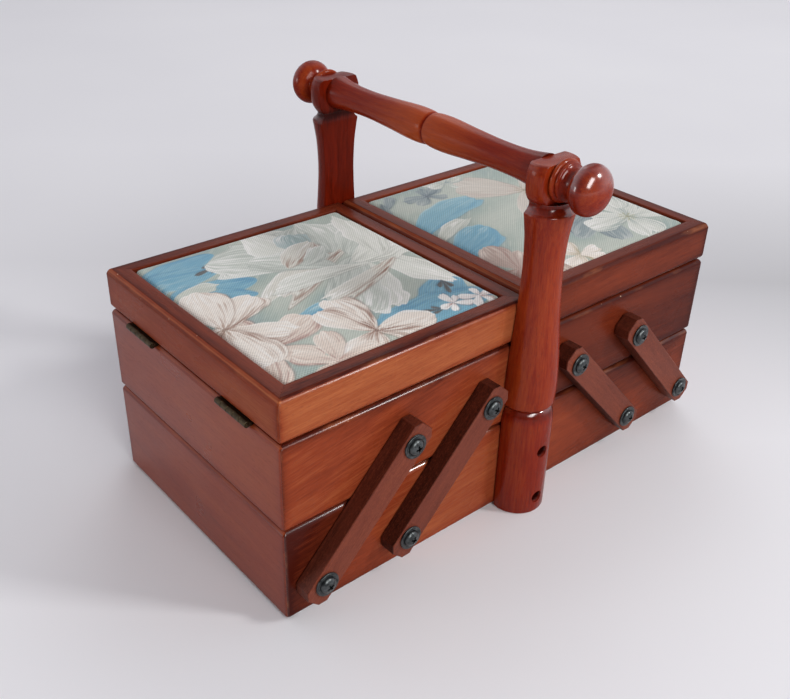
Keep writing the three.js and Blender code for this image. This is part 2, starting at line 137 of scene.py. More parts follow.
def apply_modifiers(piece):
    """Bakes the modifiers of a piece into its mesh."""
    graph = bpy.context.evaluated_depsgraph_get()
    mesh = bpy.data.meshes.new_from_object(piece.evaluated_get(graph))
    piece.modifiers.clear()
    piece.data = mesh


def subtract(piece, cutters):
    """Cuts the closed cutter objects out of a piece, and removes them."""
    for cutter in cutters:
        cut = piece.modifiers.new("cut", "BOOLEAN")
        cut.operation = "DIFFERENCE"
        cut.solver = "EXACT"
        cut.object = cutter
    apply_modifiers(piece)
    for cutter in cutters:
        bpy.data.objects.remove(cutter)
    piece.data.shade_smooth()
    piece.data.set_sharp_from_angle(angle=SHARP_ANGLE)


def flat_faces_stay_flat(piece):
    """Shades the eased edges round and the faces between them flat."""
    weighted = piece.modifiers.new("weighted_normals", "WEIGHTED_NORMAL")
    weighted.mode = "FACE_AREA"
    weighted.weight = 100
    weighted.keep_sharp = True


def stand_in(piece, node):
    """The piece moves with a CAD node's body and is shown in its place."""
    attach(piece, BODY_OF[node])
    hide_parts(node)


def store(piece, attribute, values):
    """Keeps one number, or one vector, for each vertex."""
    values = np.asarray(values, np.float32)
    kind, field = ("FLOAT", "value") if values.ndim == 1 else ("FLOAT_VECTOR", "vector")
    layer = piece.data.attributes.get(attribute) or piece.data.attributes.new(attribute, kind, "POINT")
    layer.data.foreach_set(field, values.ravel())


def vertex_vectors(piece, field):
    """An array with a row of X, Y and Z for each vertex: its "co", place, or its "normal"."""
    numbers = np.empty(len(piece.data.vertices) * 3, np.float32)
    piece.data.vertices.foreach_get(field, numbers)
    return numbers.reshape(-1, 3).astype(float)


def positions(piece):
    """Where each vertex is."""
    return vertex_vectors(piece, "co")


def move_vertices(piece, points):
    """Puts each vertex in a new place."""
    piece.data.vertices.foreach_set("co", points.astype(np.float32).ravel())


def smooth_step(values, low, high):
    """From 0 at low to 1 at high, with a gentle start and stop."""
    share = np.clip((values - low) / (high - low), 0, 1)
    return share * share * (3 - 2 * share)


grain_seeds = iter(range(1, 1000))


def lay_grain(piece, along, tilt_degrees=0.0):
    """Stores wood coordinates: X runs along the fibres, and each piece has its own stretch of wood."""
    seed = next(grain_seeds)
    along = np.array(along, float) / np.linalg.norm(along)
    aside = np.cross([0, 0, 1], along) if abs(along[2]) < 0.9 else np.array([1.0, 0, 0])
    aside = aside / np.linalg.norm(aside)
    upward = np.cross(along, aside)
    tilt = math.radians(tilt_degrees)
    fibre = math.cos(tilt) * along + math.sin(tilt) * upward
    across = math.cos(tilt) * upward - math.sin(tilt) * along
    wood = positions(piece) @ np.stack([fibre, aside, across]).T
    own_stretch = np.array([seed * 0.731 % 1, seed * 0.417 % 1, seed * 0.589 % 1]) * 7
    store(piece, "grain", wood + own_stretch)


def lay_finish(piece, tone=0.0, figure=1.0, wear=0.0, polish=0.0):
    """Stores a piece's finish: tone is from -1, dark, to 1, pale, figure how strongly the grain shows, wear
    how rubbed it is and polish how glossy. Each is one number or one for each vertex."""
    count = len(piece.data.vertices)
    for name, value in (("tone", tone), ("figure", figure), ("wear", wear), ("polish", polish)):
        store(piece, name, np.broadcast_to(np.asarray(value, float), (count,)))


# --- materials
class Nodes:
    """A node tree to build on. An input is another node's output, or a constant."""

    def __init__(self, tree):
        self.tree = tree

    def node(self, kind, inputs=(), **settings):
        """A new shader node, with its inputs by name or number and its other settings."""
        made = self.tree.nodes.new("ShaderNode" + kind)
        for name, value in settings.items():
            setattr(made, name, value)
        for key, value in dict(inputs).items():
            if isinstance(value, bpy.types.NodeSocket):
                self.tree.links.new(value, made.inputs[key])
            else:
                made.inputs[key].default_value = value
        return made

    def math(self, operation, first, second=0.0):
        return self.node("Math", {0: first, 1: second}, operation=operation).outputs[0]

    def dot(self, vector, direction):
        made = self.node("VectorMath", {0: vector, 1: direction}, operation="DOT_PRODUCT")
        return made.outputs["Value"]

    def attribute(self, name, output="Fac"):
        return self.node("Attribute", attribute_name=name).outputs[output]

    def noise(self, vector, scale, detail=2.0, roughness=0.5, distortion=0.0):
        """Noise from 0 to 1, stretched along each axis by its own scale."""
        stretched = self.node("Mapping", {"Vector": vector, "Scale": scale}).outputs[0]
        settings = {"Vector": stretched, "Scale": 1.0, "Detail": detail, "Roughness": roughness}
        return self.node("TexNoise", {**settings, "Distortion": distortion}).outputs[0]

    def ramp(self, value, *stops):
        """Colours, or grey levels, at places from 0 to 1."""
        made = self.node("ValToRGB", {"Fac": value})
        elements = made.color_ramp.elements
        while len(elements) < len(stops):
            elements.new(0.5)
        for element, (place, colour) in zip(elements, stops):
            element.position = place
            element.color = colour if hasattr(colour, "__len__") else (colour, colour, colour, 1)
        return made.outputs[0]

    def mix(self, share, first, second, blend="MIX"):
        made = self.node("Mix", {0: share, 6: first, 7: second}, data_type="RGBA", blend_type=blend)
        return made.outputs[2]

    def object_place(self):
        return self.node("TexCoord").outputs["Object"]


class Shading(Nodes):
    """A new material with its node tree and a Principled shader."""

    def __init__(self, name, **constants):
        self.material = bpy.data.materials.new(name)
        self.material.use_nodes = True
        super().__init__(self.material.node_tree)
        self.shader = self.tree.nodes["Principled BSDF"]
        for socket, value in constants.items():
            self.shader.inputs[socket.replace("_", " ")].default_value = value

    def feed(self, socket, value):
        self.tree.links.new(value, self.shader.inputs[socket])

    def bump(self, height, distance, strength):
        made = self.node("Bump", {"Height": height, "Distance": distance, "Strength": strength})
        self.feed("Normal", made.outputs[0])


def scaled(colour, share):
    """A colour made darker or lighter, as RGBA."""
    return (*(min(1, channel * share) for channel in colour[:3]), 1)


def wood(name, tones, roughness, ior=1.46, coat_ior=1.5, speckle=0.0, chips=True):
    """Stained and lacquered mahogany: ribbon figure, fibres, pores, rubbed arrises and small chips."""
    s = Shading(name, IOR=ior, Coat_Roughness=0.16, Coat_IOR=coat_ior)
    dark, mid, light = (srgb(*tone) for tone in tones)
    grain = s.attribute("grain", "Vector")
    wear, tone, figure, polish = (s.attribute(key) for key in ("wear", "tone", "figure", "polish"))
    cloud = s.noise(grain, (6, 30, 30), detail=2)
    flame = s.noise(grain, (16, 190, 190), detail=4, roughness=0.6, distortion=0.4)
    streak = s.noise(grain, (42, 620, 620), detail=3, roughness=0.65, distortion=0.2)
    fibre = s.noise(grain, (90, 1900, 1900), detail=2, roughness=0.65)
    pore = s.noise(grain, (260, 2300, 2300), detail=1)

    pattern = 0.0
    for layer, weight in ((cloud, 0.7), (flame, 0.45), (streak, 0.42), (fibre, 0.4)):
        part = s.math("MULTIPLY", s.math("SUBTRACT", layer, 0.5), weight)
        pattern = s.math("ADD", part, pattern)
    shade = s.math("ADD", s.math("MULTIPLY", pattern, figure), s.math("MULTIPLY", tone, 0.5))
    colour = s.ramp(s.math("ADD", shade, 0.5), (0.12, dark), (0.5, mid), (0.95, light))
    pores = s.math("MULTIPLY", s.ramp(pore, (0.58, 0.0), (0.72, 1.0)), figure)
    colour = s.mix(s.math("MULTIPLY", pores, 0.35), colour, scaled(dark, 0.3))
    if speckle:
        specks = s.noise(grain, (700, 1700, 1700), detail=3, roughness=0.75)
        specks = s.math("MULTIPLY", s.ramp(specks, (0.5, 0.0), (0.74, 1.0)), speckle)
        colour = s.mix(specks, colour, scaled(light, 1.7))
    patchy = s.noise(grain, (50, 160, 160), detail=3)
    rubbed = s.math("MULTIPLY", wear, s.ramp(patchy, (0.5, 0.0), (0.75, 0.3)))
    colour = s.mix(rubbed, colour, scaled(light, 1.25))
    if chips:
        chip = s.ramp(s.noise(grain, (380, 520, 520), detail=2), (0.75, 0.0), (0.765, 1.0))
        colour = s.mix(s.math("MULTIPLY", chip, wear), colour, srgb(222, 182, 152))
    s.feed("Base Color", colour)
    s.feed("Coat Weight", polish)
    smear = s.noise(grain, (24, 36, 36), detail=2)
    rough = s.math("ADD", s.math("MULTIPLY", smear, 0.16), roughness - 0.08)
    s.feed("Roughness", s.math("ADD", rough, s.math("MULTIPLY", pores, 0.12)))
    peel = s.noise(grain, (200, 330, 330), detail=1)
    relief = s.math("SUBTRACT", s.math("MULTIPLY", peel, 0.22), s.math("MULTIPLY", pores, 0.5))
    relief = s.math("ADD", relief, s.math("MULTIPLY", fibre, 0.2))
    s.bump(relief, 0.06 * MM, 0.6)
    return s.material


def metal(name, colour, worn, roughness):
    """Dark finished metal with rubbed patches and fine scratches."""
    s = Shading(name, Metallic=1.0)
    place = s.object_place()
    patches = s.noise(place, (420, 420, 420), detail=4, roughness=0.65)
    s.feed("Base Color", s.ramp(patches, (0.35, colour), (0.75, worn)))
    scratches = s.noise(place, (300, 300, 5200), detail=2)
    s.feed("Roughness", s.math("ADD", s.math("MULTIPLY", patches, 0.25), roughness - 0.1))
    s.bump(s.math("ADD", scratches, patches), 0.02 * MM, 0.5)
    return s.material


BOARD_TONES = ((68, 20, 11), (139, 59, 33), (190, 112, 68))
END_TONES = ((72, 15, 7), (134, 48, 20), (172, 84, 40))
RED_TONES = ((56, 8, 3), (128, 32, 11), (178, 76, 31))
ARM_TONES = ((52, 18, 10), (108, 47, 30), (142, 72, 47))
INNER_TONES = ((120, 58, 26), (150, 80, 40), (176, 104, 58))

MAHOGANY = wood("mahogany", BOARD_TONES, roughness=0.28, ior=1.15)
END_MAHOGANY = wood("end_mahogany", END_TONES, roughness=0.3, ior=1.38, chips=False)
RED_MAHOGANY = wood("red_mahogany", RED_TONES, roughness=0.26, ior=1.12, coat_ior=2.0)
ARM_WOOD = wood("arm_mahogany", ARM_TONES, roughness=0.5, ior=1.3, speckle=0.3)
INNER_WOOD = wood("inner_wood", INNER_TONES, roughness=0.5, chips=False)
DARK_STEEL = metal("dark_steel", (0.045, 0.05, 0.051, 1), (0.14, 0.15, 0.15, 1), 0.32)
AGED_BRASS = metal("aged_brass", (0.045, 0.033, 0.02, 1), (0.12, 0.088, 0.05, 1), 0.45)


# --- boards
def quarter_round(radius, steps):
    """The offsets from a square corner, from one face to the other, of an edge rounded to this radius."""
    angles = [math.pi / 2 * step / steps for step in range(steps + 1)]
    return [(radius * (1 - math.sin(a)), radius * (1 - math.cos(a))) for a in angles]


def eased(radius, steps):
    """The same offsets of an edge that is flatter than round."""
    power = 2 / EDGE_FLATNESS
    points = []
    for inset, rise in quarter_round(1, steps):
        points.append((radius * (1 - abs(1 - inset) ** power), radius * (1 - abs(1 - rise) ** power)))
    return points


def board_section(width, height, outer_radius, inner_radius):
    """(inset from the outer face, height) points round a board's end, from its outer face's foot."""
    outer = eased(outer_radius, 8)
    inner = eased(inner_radius, 2)
    across = width - outer_radius - inner_radius
    face = [(0, outer_radius + reach) for reach in SHADE_RINGS]
    face += [(0, height - rise) for _, rise in reversed(face)]
    top = [(inset, height - rise) for inset, rise in reversed(outer)]
    top += [(outer_radius + across * share, height) for share in (0.3, 0.7)]
    inner_top = [(width - inset, height - rise) for inset, rise in inner]
    inner_foot = [(width - inset, rise) for inset, rise in reversed(inner)]
    return outer + face + top + inner_top + inner_foot


def mitred_board(name, low, high, side, width, outer_radius, inner_radius, material):
    """One board of a rectangular box's wall, from mitre to mitre round two eased upright corners."""
    span = (high.x - low.x) if side in ("front", "back") else (high.y - low.y)
    place = {
        "front": lambda along, inset: (low.x + along, low.y + inset),
        "right": lambda along, inset: (high.x - inset, low.y + along),
        "back": lambda along, inset: (high.x - along, high.y - inset),
        "left": lambda along, inset: (low.x + inset, high.y - along),
    }[side]
    section = board_section(width, high.z - low.z, outer_radius, inner_radius)
    stations = [(math.radians(45 + 45 * step / 5), 0, False) for step in range(6)]
    stations += [(math.pi / 2, reach, False) for reach in SHADE_RINGS]
    stations += [(math.pi / 2, span * share, False) for share in (0.12, 0.25, 0.5)]
    stations += [(angle, reach, True) for angle, reach, _ in reversed(stations[:-1])]
    points = []
    for angle, reach, far in stations:
        for inset, height in section:
            centre = max(CORNER_RADIUS, inset + 0.25 * MM)
            along = centre - (centre - inset) * math.cos(angle) + reach
            depth = centre - (centre - inset) * math.sin(angle)
            if angle == stations[0][0]:
                along += MITRE_GAP
            x, y = place(span - along if far else along, depth)
            points.append((x, y, low.z + height))
    return make_object(name, points, ring_faces(len(stations), len(section)), material)


def board_finish(board, low, high, radius, tones, figure, top_shade, polish):
    """A board's tone, with painted shade along its edges and on its top and a painted highlight along the
    left end's top rim, and its polished and rubbed edges.
    """
    x, y, z = positions(board).T
    along_x = np.ptp(x) >= np.ptp(y)
    run = (x - low.x) / (high.x - low.x) if along_x else (y - low.y) / (high.y - low.y)
    tone = np.interp(run, np.linspace(0, 1, len(tones)), tones)
    nearest = np.sort(np.stack([x - low.x, high.x - x, y - low.y, high.y - y]), axis=0)
    ends = np.minimum(z - low.z, high.z - z)
    rim = np.where(nearest[0] < radius, np.minimum(nearest[0], ends), 0)
    upright = np.where(nearest[1] < CORNER_RADIUS, nearest[0], 0)
    wear = np.clip(np.maximum(rim, upright) / (0.2 * radius), 0, 1)
    from_edge = np.sort(np.stack([nearest[0], nearest[1], ends]), axis=0)[1]
    # painted shade along every edge, darkest close to it, which reads as the dark seams between the boxes
    painted_shade = np.exp(-np.maximum(from_edge - 0.5 * radius, 0) / EDGE_SHADE_REACH)
    # the top takes a darker tone, as painted shade
    tone = np.where(high.z - z < 0.3 * radius, top_shade, tone) - EDGE_SHADE * painted_shade
    # a painted highlight in a line along the left end's top rim
    inset, drop = (x - low.x) / radius, (high.z - z) / radius
    tone = tone + LEFT_RIM_HIGHLIGHT * ((inset > 0.3) & (inset < 0.8) & (drop < 0.5))
    lay_finish(board, tone, figure, wear, wear * polish)


def box_boards(prefix, low, high, width, outer_radius, nodes, looks, hinged=None):
    """The four boards of a box, hinged on one side or on none. nodes has the CAD node that each board
    stands for, and looks has its degrees between grain and length, tones at even steps from its left or
    front end, figure, tone of its top edge, which is darker as painted shade, and polish of its eased
    edges."""
    for side in WALLS:
        tilt, tones, figure, top_shade, polish = looks[side]
        name = f"{prefix}_{side}_{'rail' if 'lid' in prefix else 'wall'}"
        material = MAHOGANY if side in ("front", "back") or "lid" in prefix else END_MAHOGANY
        board = mitred_board(name, low, high, side, width, outer_radius, INNER_EDGE_RADIUS, material)
        if side == hinged:
            subtract(board, hinge_mortises(side))
        lay_grain(board, (1, 0, 0) if side in ("front", "back") else (0, 1, 0), tilt)
        board_finish(board, low, high, outer_radius, tones, figure, top_shade, polish)
        flat_faces_stay_flat(board)
        stand_in(board, nodes[side])


def slab(name, node, radius, along):
    """A flat panel of inner wood with slightly eased edges, in the place of a CAD node."""
    low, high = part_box(node)
    rings = [(low.z + rise, inset) for inset, rise in quarter_round(radius, 2)]
    rings += [(low.z + high.z - z, inset) for z, inset in reversed(rings)]
    points = []
    for z, inset in rings:
        left, right, front, back = low.x + inset, high.x - inset, low.y + inset, high.y - inset
        points += [(left, front, z), (right, front, z), (right, back, z), (left, back, z)]
    piece = make_object(name, points, ring_faces(len(rings), 4), INNER_WOOD)
    lay_grain(piece, along)
    lay_finish(piece, figure=0.8)
    flat_faces_stay_flat(piece)
    stand_in(piece, node)


def block(name, low, high):
    """A closed box between two corners."""
    corners = [(x, y, z) for x in (low[0], high[0]) for y in (low[1], high[1]) for z in (low[2], high[2])]
    faces = [(0, 1, 3, 2), (4, 6, 7, 5), (0, 4, 5, 1), (2, 3, 7, 6), (0, 2, 6, 4), (1, 5, 7, 3)]
    return make_object(name, corners, faces, MAHOGANY)


def hinge_mortises(side):
    """Cutters for the two hinges at a box's end, a little larger than the hinges' leaves."""
    cutters = []
    for face in FACES:
        tray_low, tray_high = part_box(f"{side}_{face}_hinge_tray_leaf")
        lid_low, lid_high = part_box(f"{side}_{face}_hinge_lid_leaf")
        low = Vector((min(tray_low.x, lid_low.x), tray_low.y, (tray_low.z + lid_high.z) / 2))
        high = Vector((max(tray_high.x, lid_high.x), tray_high.y, low.z))
        cutters.append(block("cutter", low - MORTISE_EASE, high + MORTISE_EASE))
    return cutters


def build_base():
    """The long lower box, with its bottom and its divider."""
    low = Vector((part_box("base_left_board")[0].x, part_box("base_front_board")[0].y, 0))
    high = Vector(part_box("base_back_board")[1])
    high.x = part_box("base_right_board")[1].x
    nodes = {side: f"base_{side}_board" for side in WALLS}
    looks = {
        # the dark first tone and the darker last two are partly painted shadows of the arms and partly
        # darker wood
        "front": (5, (-0.7, 0.3, 0.05, -0.3, -0.35), 0.7, -0.3, 1.0),
        "right": (-2, (0.0, 0.0), 0.5, -0.3, 0.2),
        "back": (3, (0.0, 0.0), 0.8, -0.3, 0.5),
        "left": (2, (0.1, 0.1), 0.6, -0.3, 0.15),
    }
    box_boards("base", low, high, BOARD_THICKNESS, EDGE_RADIUS, nodes, looks)
    slab("base_bottom", "base_bottom_panel", 0.5 * MM, (1, 0, 0))
    slab("base_partition", "base_divider", 0.8 * MM, (0, 1, 0))


def build_tray(side):
    """A tray's walls, with its bottom and its divider."""
    low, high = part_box(f"{side}_tray_walls")
    nodes = dict.fromkeys(WALLS, f"{side}_tray_walls")
    plain_front = (10, (0.1, 0.0, 0.3), 0.75, -0.2, 0.35)
    dark_front = (-3, (-0.3, -0.55), 0.35, -0.3, 0.3)
    looks = {
        "front": plain_front if side == "left" else dark_front,
        "right": (-2, (0.0, 0.0), 0.4, -0.2, 0.2),
        "back": (4, (0.0, 0.0), 0.8, -0.2, 0.5),
        "left": (2, (0.3, 0.0), 0.6, -0.2, 0.15),
    }
    box_boards(f"{side}_tray", low, high, BOARD_THICKNESS, EDGE_RADIUS, nodes, looks, side)
    slab(f"{side}_tray_floor", f"{side}_tray_bottom", 0.5 * MM, (1, 0, 0))
    slab(f"{side}_tray_partition", f"{side}_tray_divider", 0.8 * MM, (0, 1, 0))


def build_lid(side):
    """A lid's frame, and the board that carries its pad."""
    low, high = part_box(f"{side}_lid_frame")
    nodes = dict.fromkeys(WALLS, f"{side}_lid_frame")
    pale_front = (4, (0.6, 0.5), 0.7, -0.4, 0.25)
    dark_front = (2, (-0.4, -0.5), 0.5, -0.4, 0.25)
    looks = {
        "front": pale_front if side == "left" else dark_front,
        "right": (1, (-0.1, -0.1), 0.5, -0.4, 0.2),
        "back": (-2, (0.0, 0.0), 0.6, -0.4, 0.5),
        "left": (1, (0.3, 0.0), 0.5, -0.3, 0.2),
    }
    box_boards(f"{side}_lid", low, high, LID_RAIL_WIDTH, LID_EDGE_RADIUS, nodes, looks, side)
    slab(f"{side}_lid_board", f"{side}_lid_panel", 0.4 * MM, (0, 1, 0))


# --- arms
def inset_outline(outline, distance):
    """A convex outline drawn in by a distance, its points in the same order."""
    corners = [np.array(corner) for corner in outline]
    lines = []
    for a, b in zip(corners, corners[1:] + corners[:1]):
        run = (b - a) / np.linalg.norm(b - a)
        inward = np.array([-run[1], run[0]])
        lines.append((a + inward * distance, run))
    points = []
    for (p, u), (q, v) in zip(lines[-1:] + lines, lines):
        points.append(tuple(p + u * np.cross(q - p, v) / np.cross(u, v)))
    return points


def build_arm(label):
    """A flat bar from its lower to its upper pivot, with chamfered ends and eased edges."""
    node = f"{label}_arm"
    lower, upper = middle(f"{label}_lower_pivot_screw"), middle(f"{label}_upper_pivot_screw")
    low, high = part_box(node)
    reach = math.hypot(upper.x - lower.x, upper.z - lower.z)
    along = Vector((upper.x - lower.x, 0, upper.z - lower.z)).normalized()
    aside = Vector((along.z, 0, -along.x))
    half, shoulder = ARM_WIDTH / 2, ARM_WIDTH / 2 - ARM_CHAMFER
    foot, head = -ARM_OVERHANG, reach + ARM_OVERHANG
    outline = [(shoulder, foot), (half, foot + ARM_CHAMFER), (half, head - ARM_CHAMFER), (shoulder, head)]
    outline += [(-across, up) for across, up in reversed(outline)]
    edge = quarter_round(ARM_EDGE_RADIUS, 4)
    shares = np.linspace(0, 1, len(edge))  # 0 on the bar's faces and 1 on its sides
    layers = [(low.y + rise, inset, share) for (inset, rise), share in zip(edge, shares)]
    layers += [(low.y + high.y - y, inset, share) for y, inset, share in reversed(layers)]
    points = []
    for y, inset, _ in layers:
        for across, up in inset_outline(outline, inset):
            points.append(Vector((lower.x, y, lower.z)) + aside * across + along * up)
    arm = make_object(f"{label}_bar", points, ring_faces(len(layers), len(outline)), ARM_WOOD)
    share = np.repeat([layer[2] for layer in layers], len(outline))
    side_shade = ARM_SIDE_SHADES[label.rsplit("_", 1)[1]]
    # painted shade on the bar's narrow sides
    lay_finish(arm, tone=0.1 - side_shade * share, figure=0.8, wear=0.5 * np.sin(math.pi * share))
    lay_grain(arm, along)
    flat_faces_stay_flat(arm)
    stand_in(arm, node)


# --- turned pieces
def spline(points, steps):
    """A smooth line through (radius, height) points."""
    points = [np.array(p, float) for p in points]
    padded = [points[0], *points, points[-1]]
    line = []
    for a, b, c, d in zip(padded, padded[1:], padded[2:], padded[3:]):
        bends = (2 * a - 5 * b + 4 * c - d, 3 * b - a - 3 * c + d)
        for step in range(steps):
            t = step / steps
            line.append((2 * b + (c - a) * t + bends[0] * t**2 + bends[1] * t**3) / 2)
    return [tuple(p) for p in [*line, points[-1]]]


def arc(centre, radii, first, last, steps):
    """Points of an ellipse's arc, between two angles in degrees."""
    angles = np.radians(np.linspace(first, last, steps + 1))
    return [(centre[0] + radii[0] * math.cos(a), centre[1] + radii[1] * math.sin(a)) for a in angles]


def ring(radius, count):
    """Points of a circle, once round."""
    return arc((0, 0), (radius, radius), 0, 360, count)[:-1]


def revolve(name, outline, material, turn, segments=72, sharp_angle=SHARP_ANGLE):
    """A turned solid. outline holds (radius, height) pairs in metres, and turn places its axis, +Z."""
    rings = [(ring(radius, segments), height) for radius, height in outline]
    points = [turn @ Vector((x, y, height)) for places, height in rings for x, y in places]
    return make_object(name, points, ring_faces(len(outline), segments), material, sharp_angle)


def in_metres(outline):
    """An outline in millimetres, made metres."""
    return [(radius * MM, height * MM) for radius, height in outline]


def facing_out(x, y, z, sign, spin=0.0):
    """Places a turned piece's foot here, its axis along Y and away from the box's middle."""
    lying = Matrix.Rotation(-sign * math.pi / 2, 4, "X") @ Matrix.Rotation(spin, 4, "Z")
    return Matrix.Translation((x, y, z)) @ lying


def flattened_circle(radius, flats, fillet):
    """A circle with round-cornered flats, each given as (angle in degrees, distance from the centre)."""
    fillet_steps, arc_steps = 4, 40
    marks = []
    for angle, distance in flats:
        reach = math.sqrt((radius - fillet) ** 2 - (distance - fillet) ** 2)
        marks.append((angle, distance, reach, math.degrees(math.atan2(reach, distance - fillet))))
    points = []
    for index, (facing, distance, reach, half) in enumerate(marks):
        normal = np.array([math.cos(math.radians(facing)), math.sin(math.radians(facing))])
        along = np.array([-normal[1], normal[0]])
        for sign in (-1, 1):
            centre = normal * (distance - fillet) + along * sign * reach
            corner = (facing - half, facing) if sign < 0 else (facing, facing + half)
            points += arc(centre, (fillet, fillet), *corner, fillet_steps)
        following = marks[(index + 1) % len(marks)]
        last = following[0] - following[3] + (360 if index == len(marks) - 1 else 0)
        points += arc((0, 0), (radius, radius), facing + half, last, arc_steps)[1:-1]
    return points


def loft(name, outline, flats, fillet, material, turn):
    """A turned solid with flats cut along it."""
    rings = [(flattened_circle(radius, flats, fillet), height) for radius, height in outline]
    points = [turn @ Vector((x, y, height)) for places, height in rings for x, y in places]
    return make_object(name, points, ring_faces(len(rings), len(rings[0][0])), material)


# the handle, in millimetres: heights are above the floor and flats are measured from the post's axis
FOOT_RADIUS = 15.3
GROOVE_HEIGHT = 67.2
NECK_HEIGHT = 182.4
HEAD_OUTER_FLAT = 7.0
POST_FLAT = 3.0
RAIL_HALF = 80.1  # half the rail's length between the heads
BALL_HALF = 8.6  # half the length of a knob's flattened ball
POST_SCREW_HEIGHTS = {"lower": 10.0, "upper": 41.0}
POST_SCREW_SPINS = {"lower": 0.4, "upper": 1.1}
POST_BORE = [(0.1, -20), (3.6, -20), (3.6, -14.6), (2.95, -13.6), (2.9, -3.3), (0.1, -3.3)]
FAR_GLOSS = 0.4  # the back post's and knob's polish, as a share of the front ones'


def post_outline():
    """The post from its foot, past the groove, the belly and the shaft, to its lip and neck."""
    foot = [(FOOT_RADIUS - 0.9, 0), (FOOT_RADIUS - 0.3, 0.25)]
    foot += [(FOOT_RADIUS, height) for height in (0.9, 30, 57)]
    shoulder = arc((FOOT_RADIUS - 3.6, 57.5), (3.6, 9.4), 4, 88, 14)
    belly_edge = arc((13.3, 69.7), (1.6, 2.0), -82, 0, 7)
    swelling = [(15.0, 72), (15.3, 79), (14.4, 97), (12.3, 121)]
    belly = spline(swelling + [(11.1, 145), (11.7, 162), (13.1, 172), (13.8, 175.8)], 6)
    lip = arc((13.1, 176.6), (0.8, 0.9), 0, 80, 6)
    cove = spline([(12.4, 178.2), (11.4, 179.6), (10.9, 181), (11.2, NECK_HEIGHT)], 4)
    return foot + shoulder + [(11.6, GROOVE_HEIGHT)] + belly_edge + belly + lip + cove


def head_outline(top):
    """The head over the neck, with its top edge eased."""
    edge = 1.6
    neck = [(11.2, NECK_HEIGHT + 0.05), (12.8, 184.4)]
    sides = spline(neck + [(14.3, 188), (14.8, 193), (14.4, 197.5), (13.3, top - edge)], 5)
    return sides + arc((11.6, top - edge), (edge, edge), 15, 90, 6)


def turned_polish(piece, first, last):
    """The gloss of a turned piece: full where its normal's Z is over last, and low where it is under
    first and on a flat top, which keeps the floor's and backdrop's bright reflection off those faces."""
    upward = vertex_vectors(piece, "normal")[:, 2]
    return 0.12 + 0.88 * smooth_step(upward, first, last) * smooth_step(-upward, -0.97, -0.85)


def build_post(face):
    """A post with its flat inner side and two countersunk bores, and its head with two flats."""
    sign = FACES[face]
    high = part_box(f"{face}_post")[1]
    axis = outer_y(f"{face}_post", -sign) + sign * POST_FLAT * MM
    turn = Matrix.Translation((0, axis, 0)) @ Matrix.Rotation(0 if sign < 0 else math.pi, 4, "Z")
    inner, outer = (90, POST_FLAT * MM), (270, HEAD_OUTER_FLAT * MM)
    shaft_line, head_line = in_metres(post_outline()), in_metres(head_outline(high.z / MM))
    shaft = loft(f"{face}_post_shaft", shaft_line, [inner], 0.5 * MM, RED_MAHOGANY, turn)
    head = loft(f"{face}_post_head", head_line, [inner, outer], 0.7 * MM, RED_MAHOGANY, turn)
    bores = []
    for height in POST_SCREW_HEIGHTS.values():
        facing = turn @ facing_out(0, 0, height * MM, 1)
        bores.append(revolve("cutter", in_metres(POST_BORE), RED_MAHOGANY, facing, 40))
    subtract(shaft, bores)
    for piece in (shaft, head):
        lay_grain(piece, (0, 0, 1))
        x, y, height = (positions(piece) / MM).T
        outward = sign * (y - axis / MM)
        # The tone carries painted shade: darker in the groove and under the head, over the foot, in the
        # bores, and on the whole back post.
        recesses = ((GROOVE_HEIGHT - 3, 3.5), (NECK_HEIGHT - 1, 3.0))
        painted_shade = sum(np.exp(-(((height - place) / reach) ** 2)) for place, reach in recesses)
        in_bore = (np.hypot(x, outward) < FOOT_RADIUS - 1.2) & (height < 50) & (outward > POST_FLAT)
        foot = smooth_step(GROOVE_HEIGHT - height, 0, 20)
        tone = (0.1 if sign < 0 else -0.3) - 0.5 * painted_shade - 0.2 * foot - 0.9 * in_bore
        polish = np.where(height < GROOVE_HEIGHT - 8, 0.12, turned_polish(piece, 0.3, 0.6))
        lay_finish(piece, tone, figure=0.8, polish=polish * (1 if sign < 0 else FAR_GLOSS))
        stand_in(piece, f"{face}_post")


def build_rail():
    """The turned rail between the posts, with a groove in its middle whose edges are rubbed and lighter,
    worn and partly a painted highlight on the beads.
    """
    centre = middle("handle_rail")
    swelling = [(8.8, 1.3), (9.25, 6), (9.2, 15), (8.2, 31), (7.4, 50), (7.8, 67), (9.6, RAIL_HALF)]
    half = [(8.0, 0.0), (8.15, 0.35)] + spline(swelling, 6)
    outline = [(radius, -along) for radius, along in reversed(half[1:])] + half
    turn = facing_out(*centre, -1)
    rail = revolve("handle_rail_turned", in_metres(outline), RED_MAHOGANY, turn)
    lay_grain(rail, (0, 1, 0))
    from_middle = np.abs(positions(rail)[:, 1] - centre.y) / MM
    from_end = RAIL_HALF - from_middle
    # painted shade in the groove and towards the heads, and a painted broad highlight, paler, towards the
    # groove
    painted_shade = 1.6 * np.exp(-(from_middle**2)) + np.exp(-from_end / 5)
    tone = 0.15 + 0.62 * smooth_step(from_end, 25, 75) - 0.5 * painted_shade
    # rubbed groove edges, lighter: wear, and partly a painted highlight on the beads
    rubbed = np.clip(0.75 - np.abs(from_middle - 1.6), 0, 1)
    lay_finish(rail, tone, figure=0.6, wear=0.6 * rubbed, polish=0.1)
    stand_in(rail, "handle_rail")


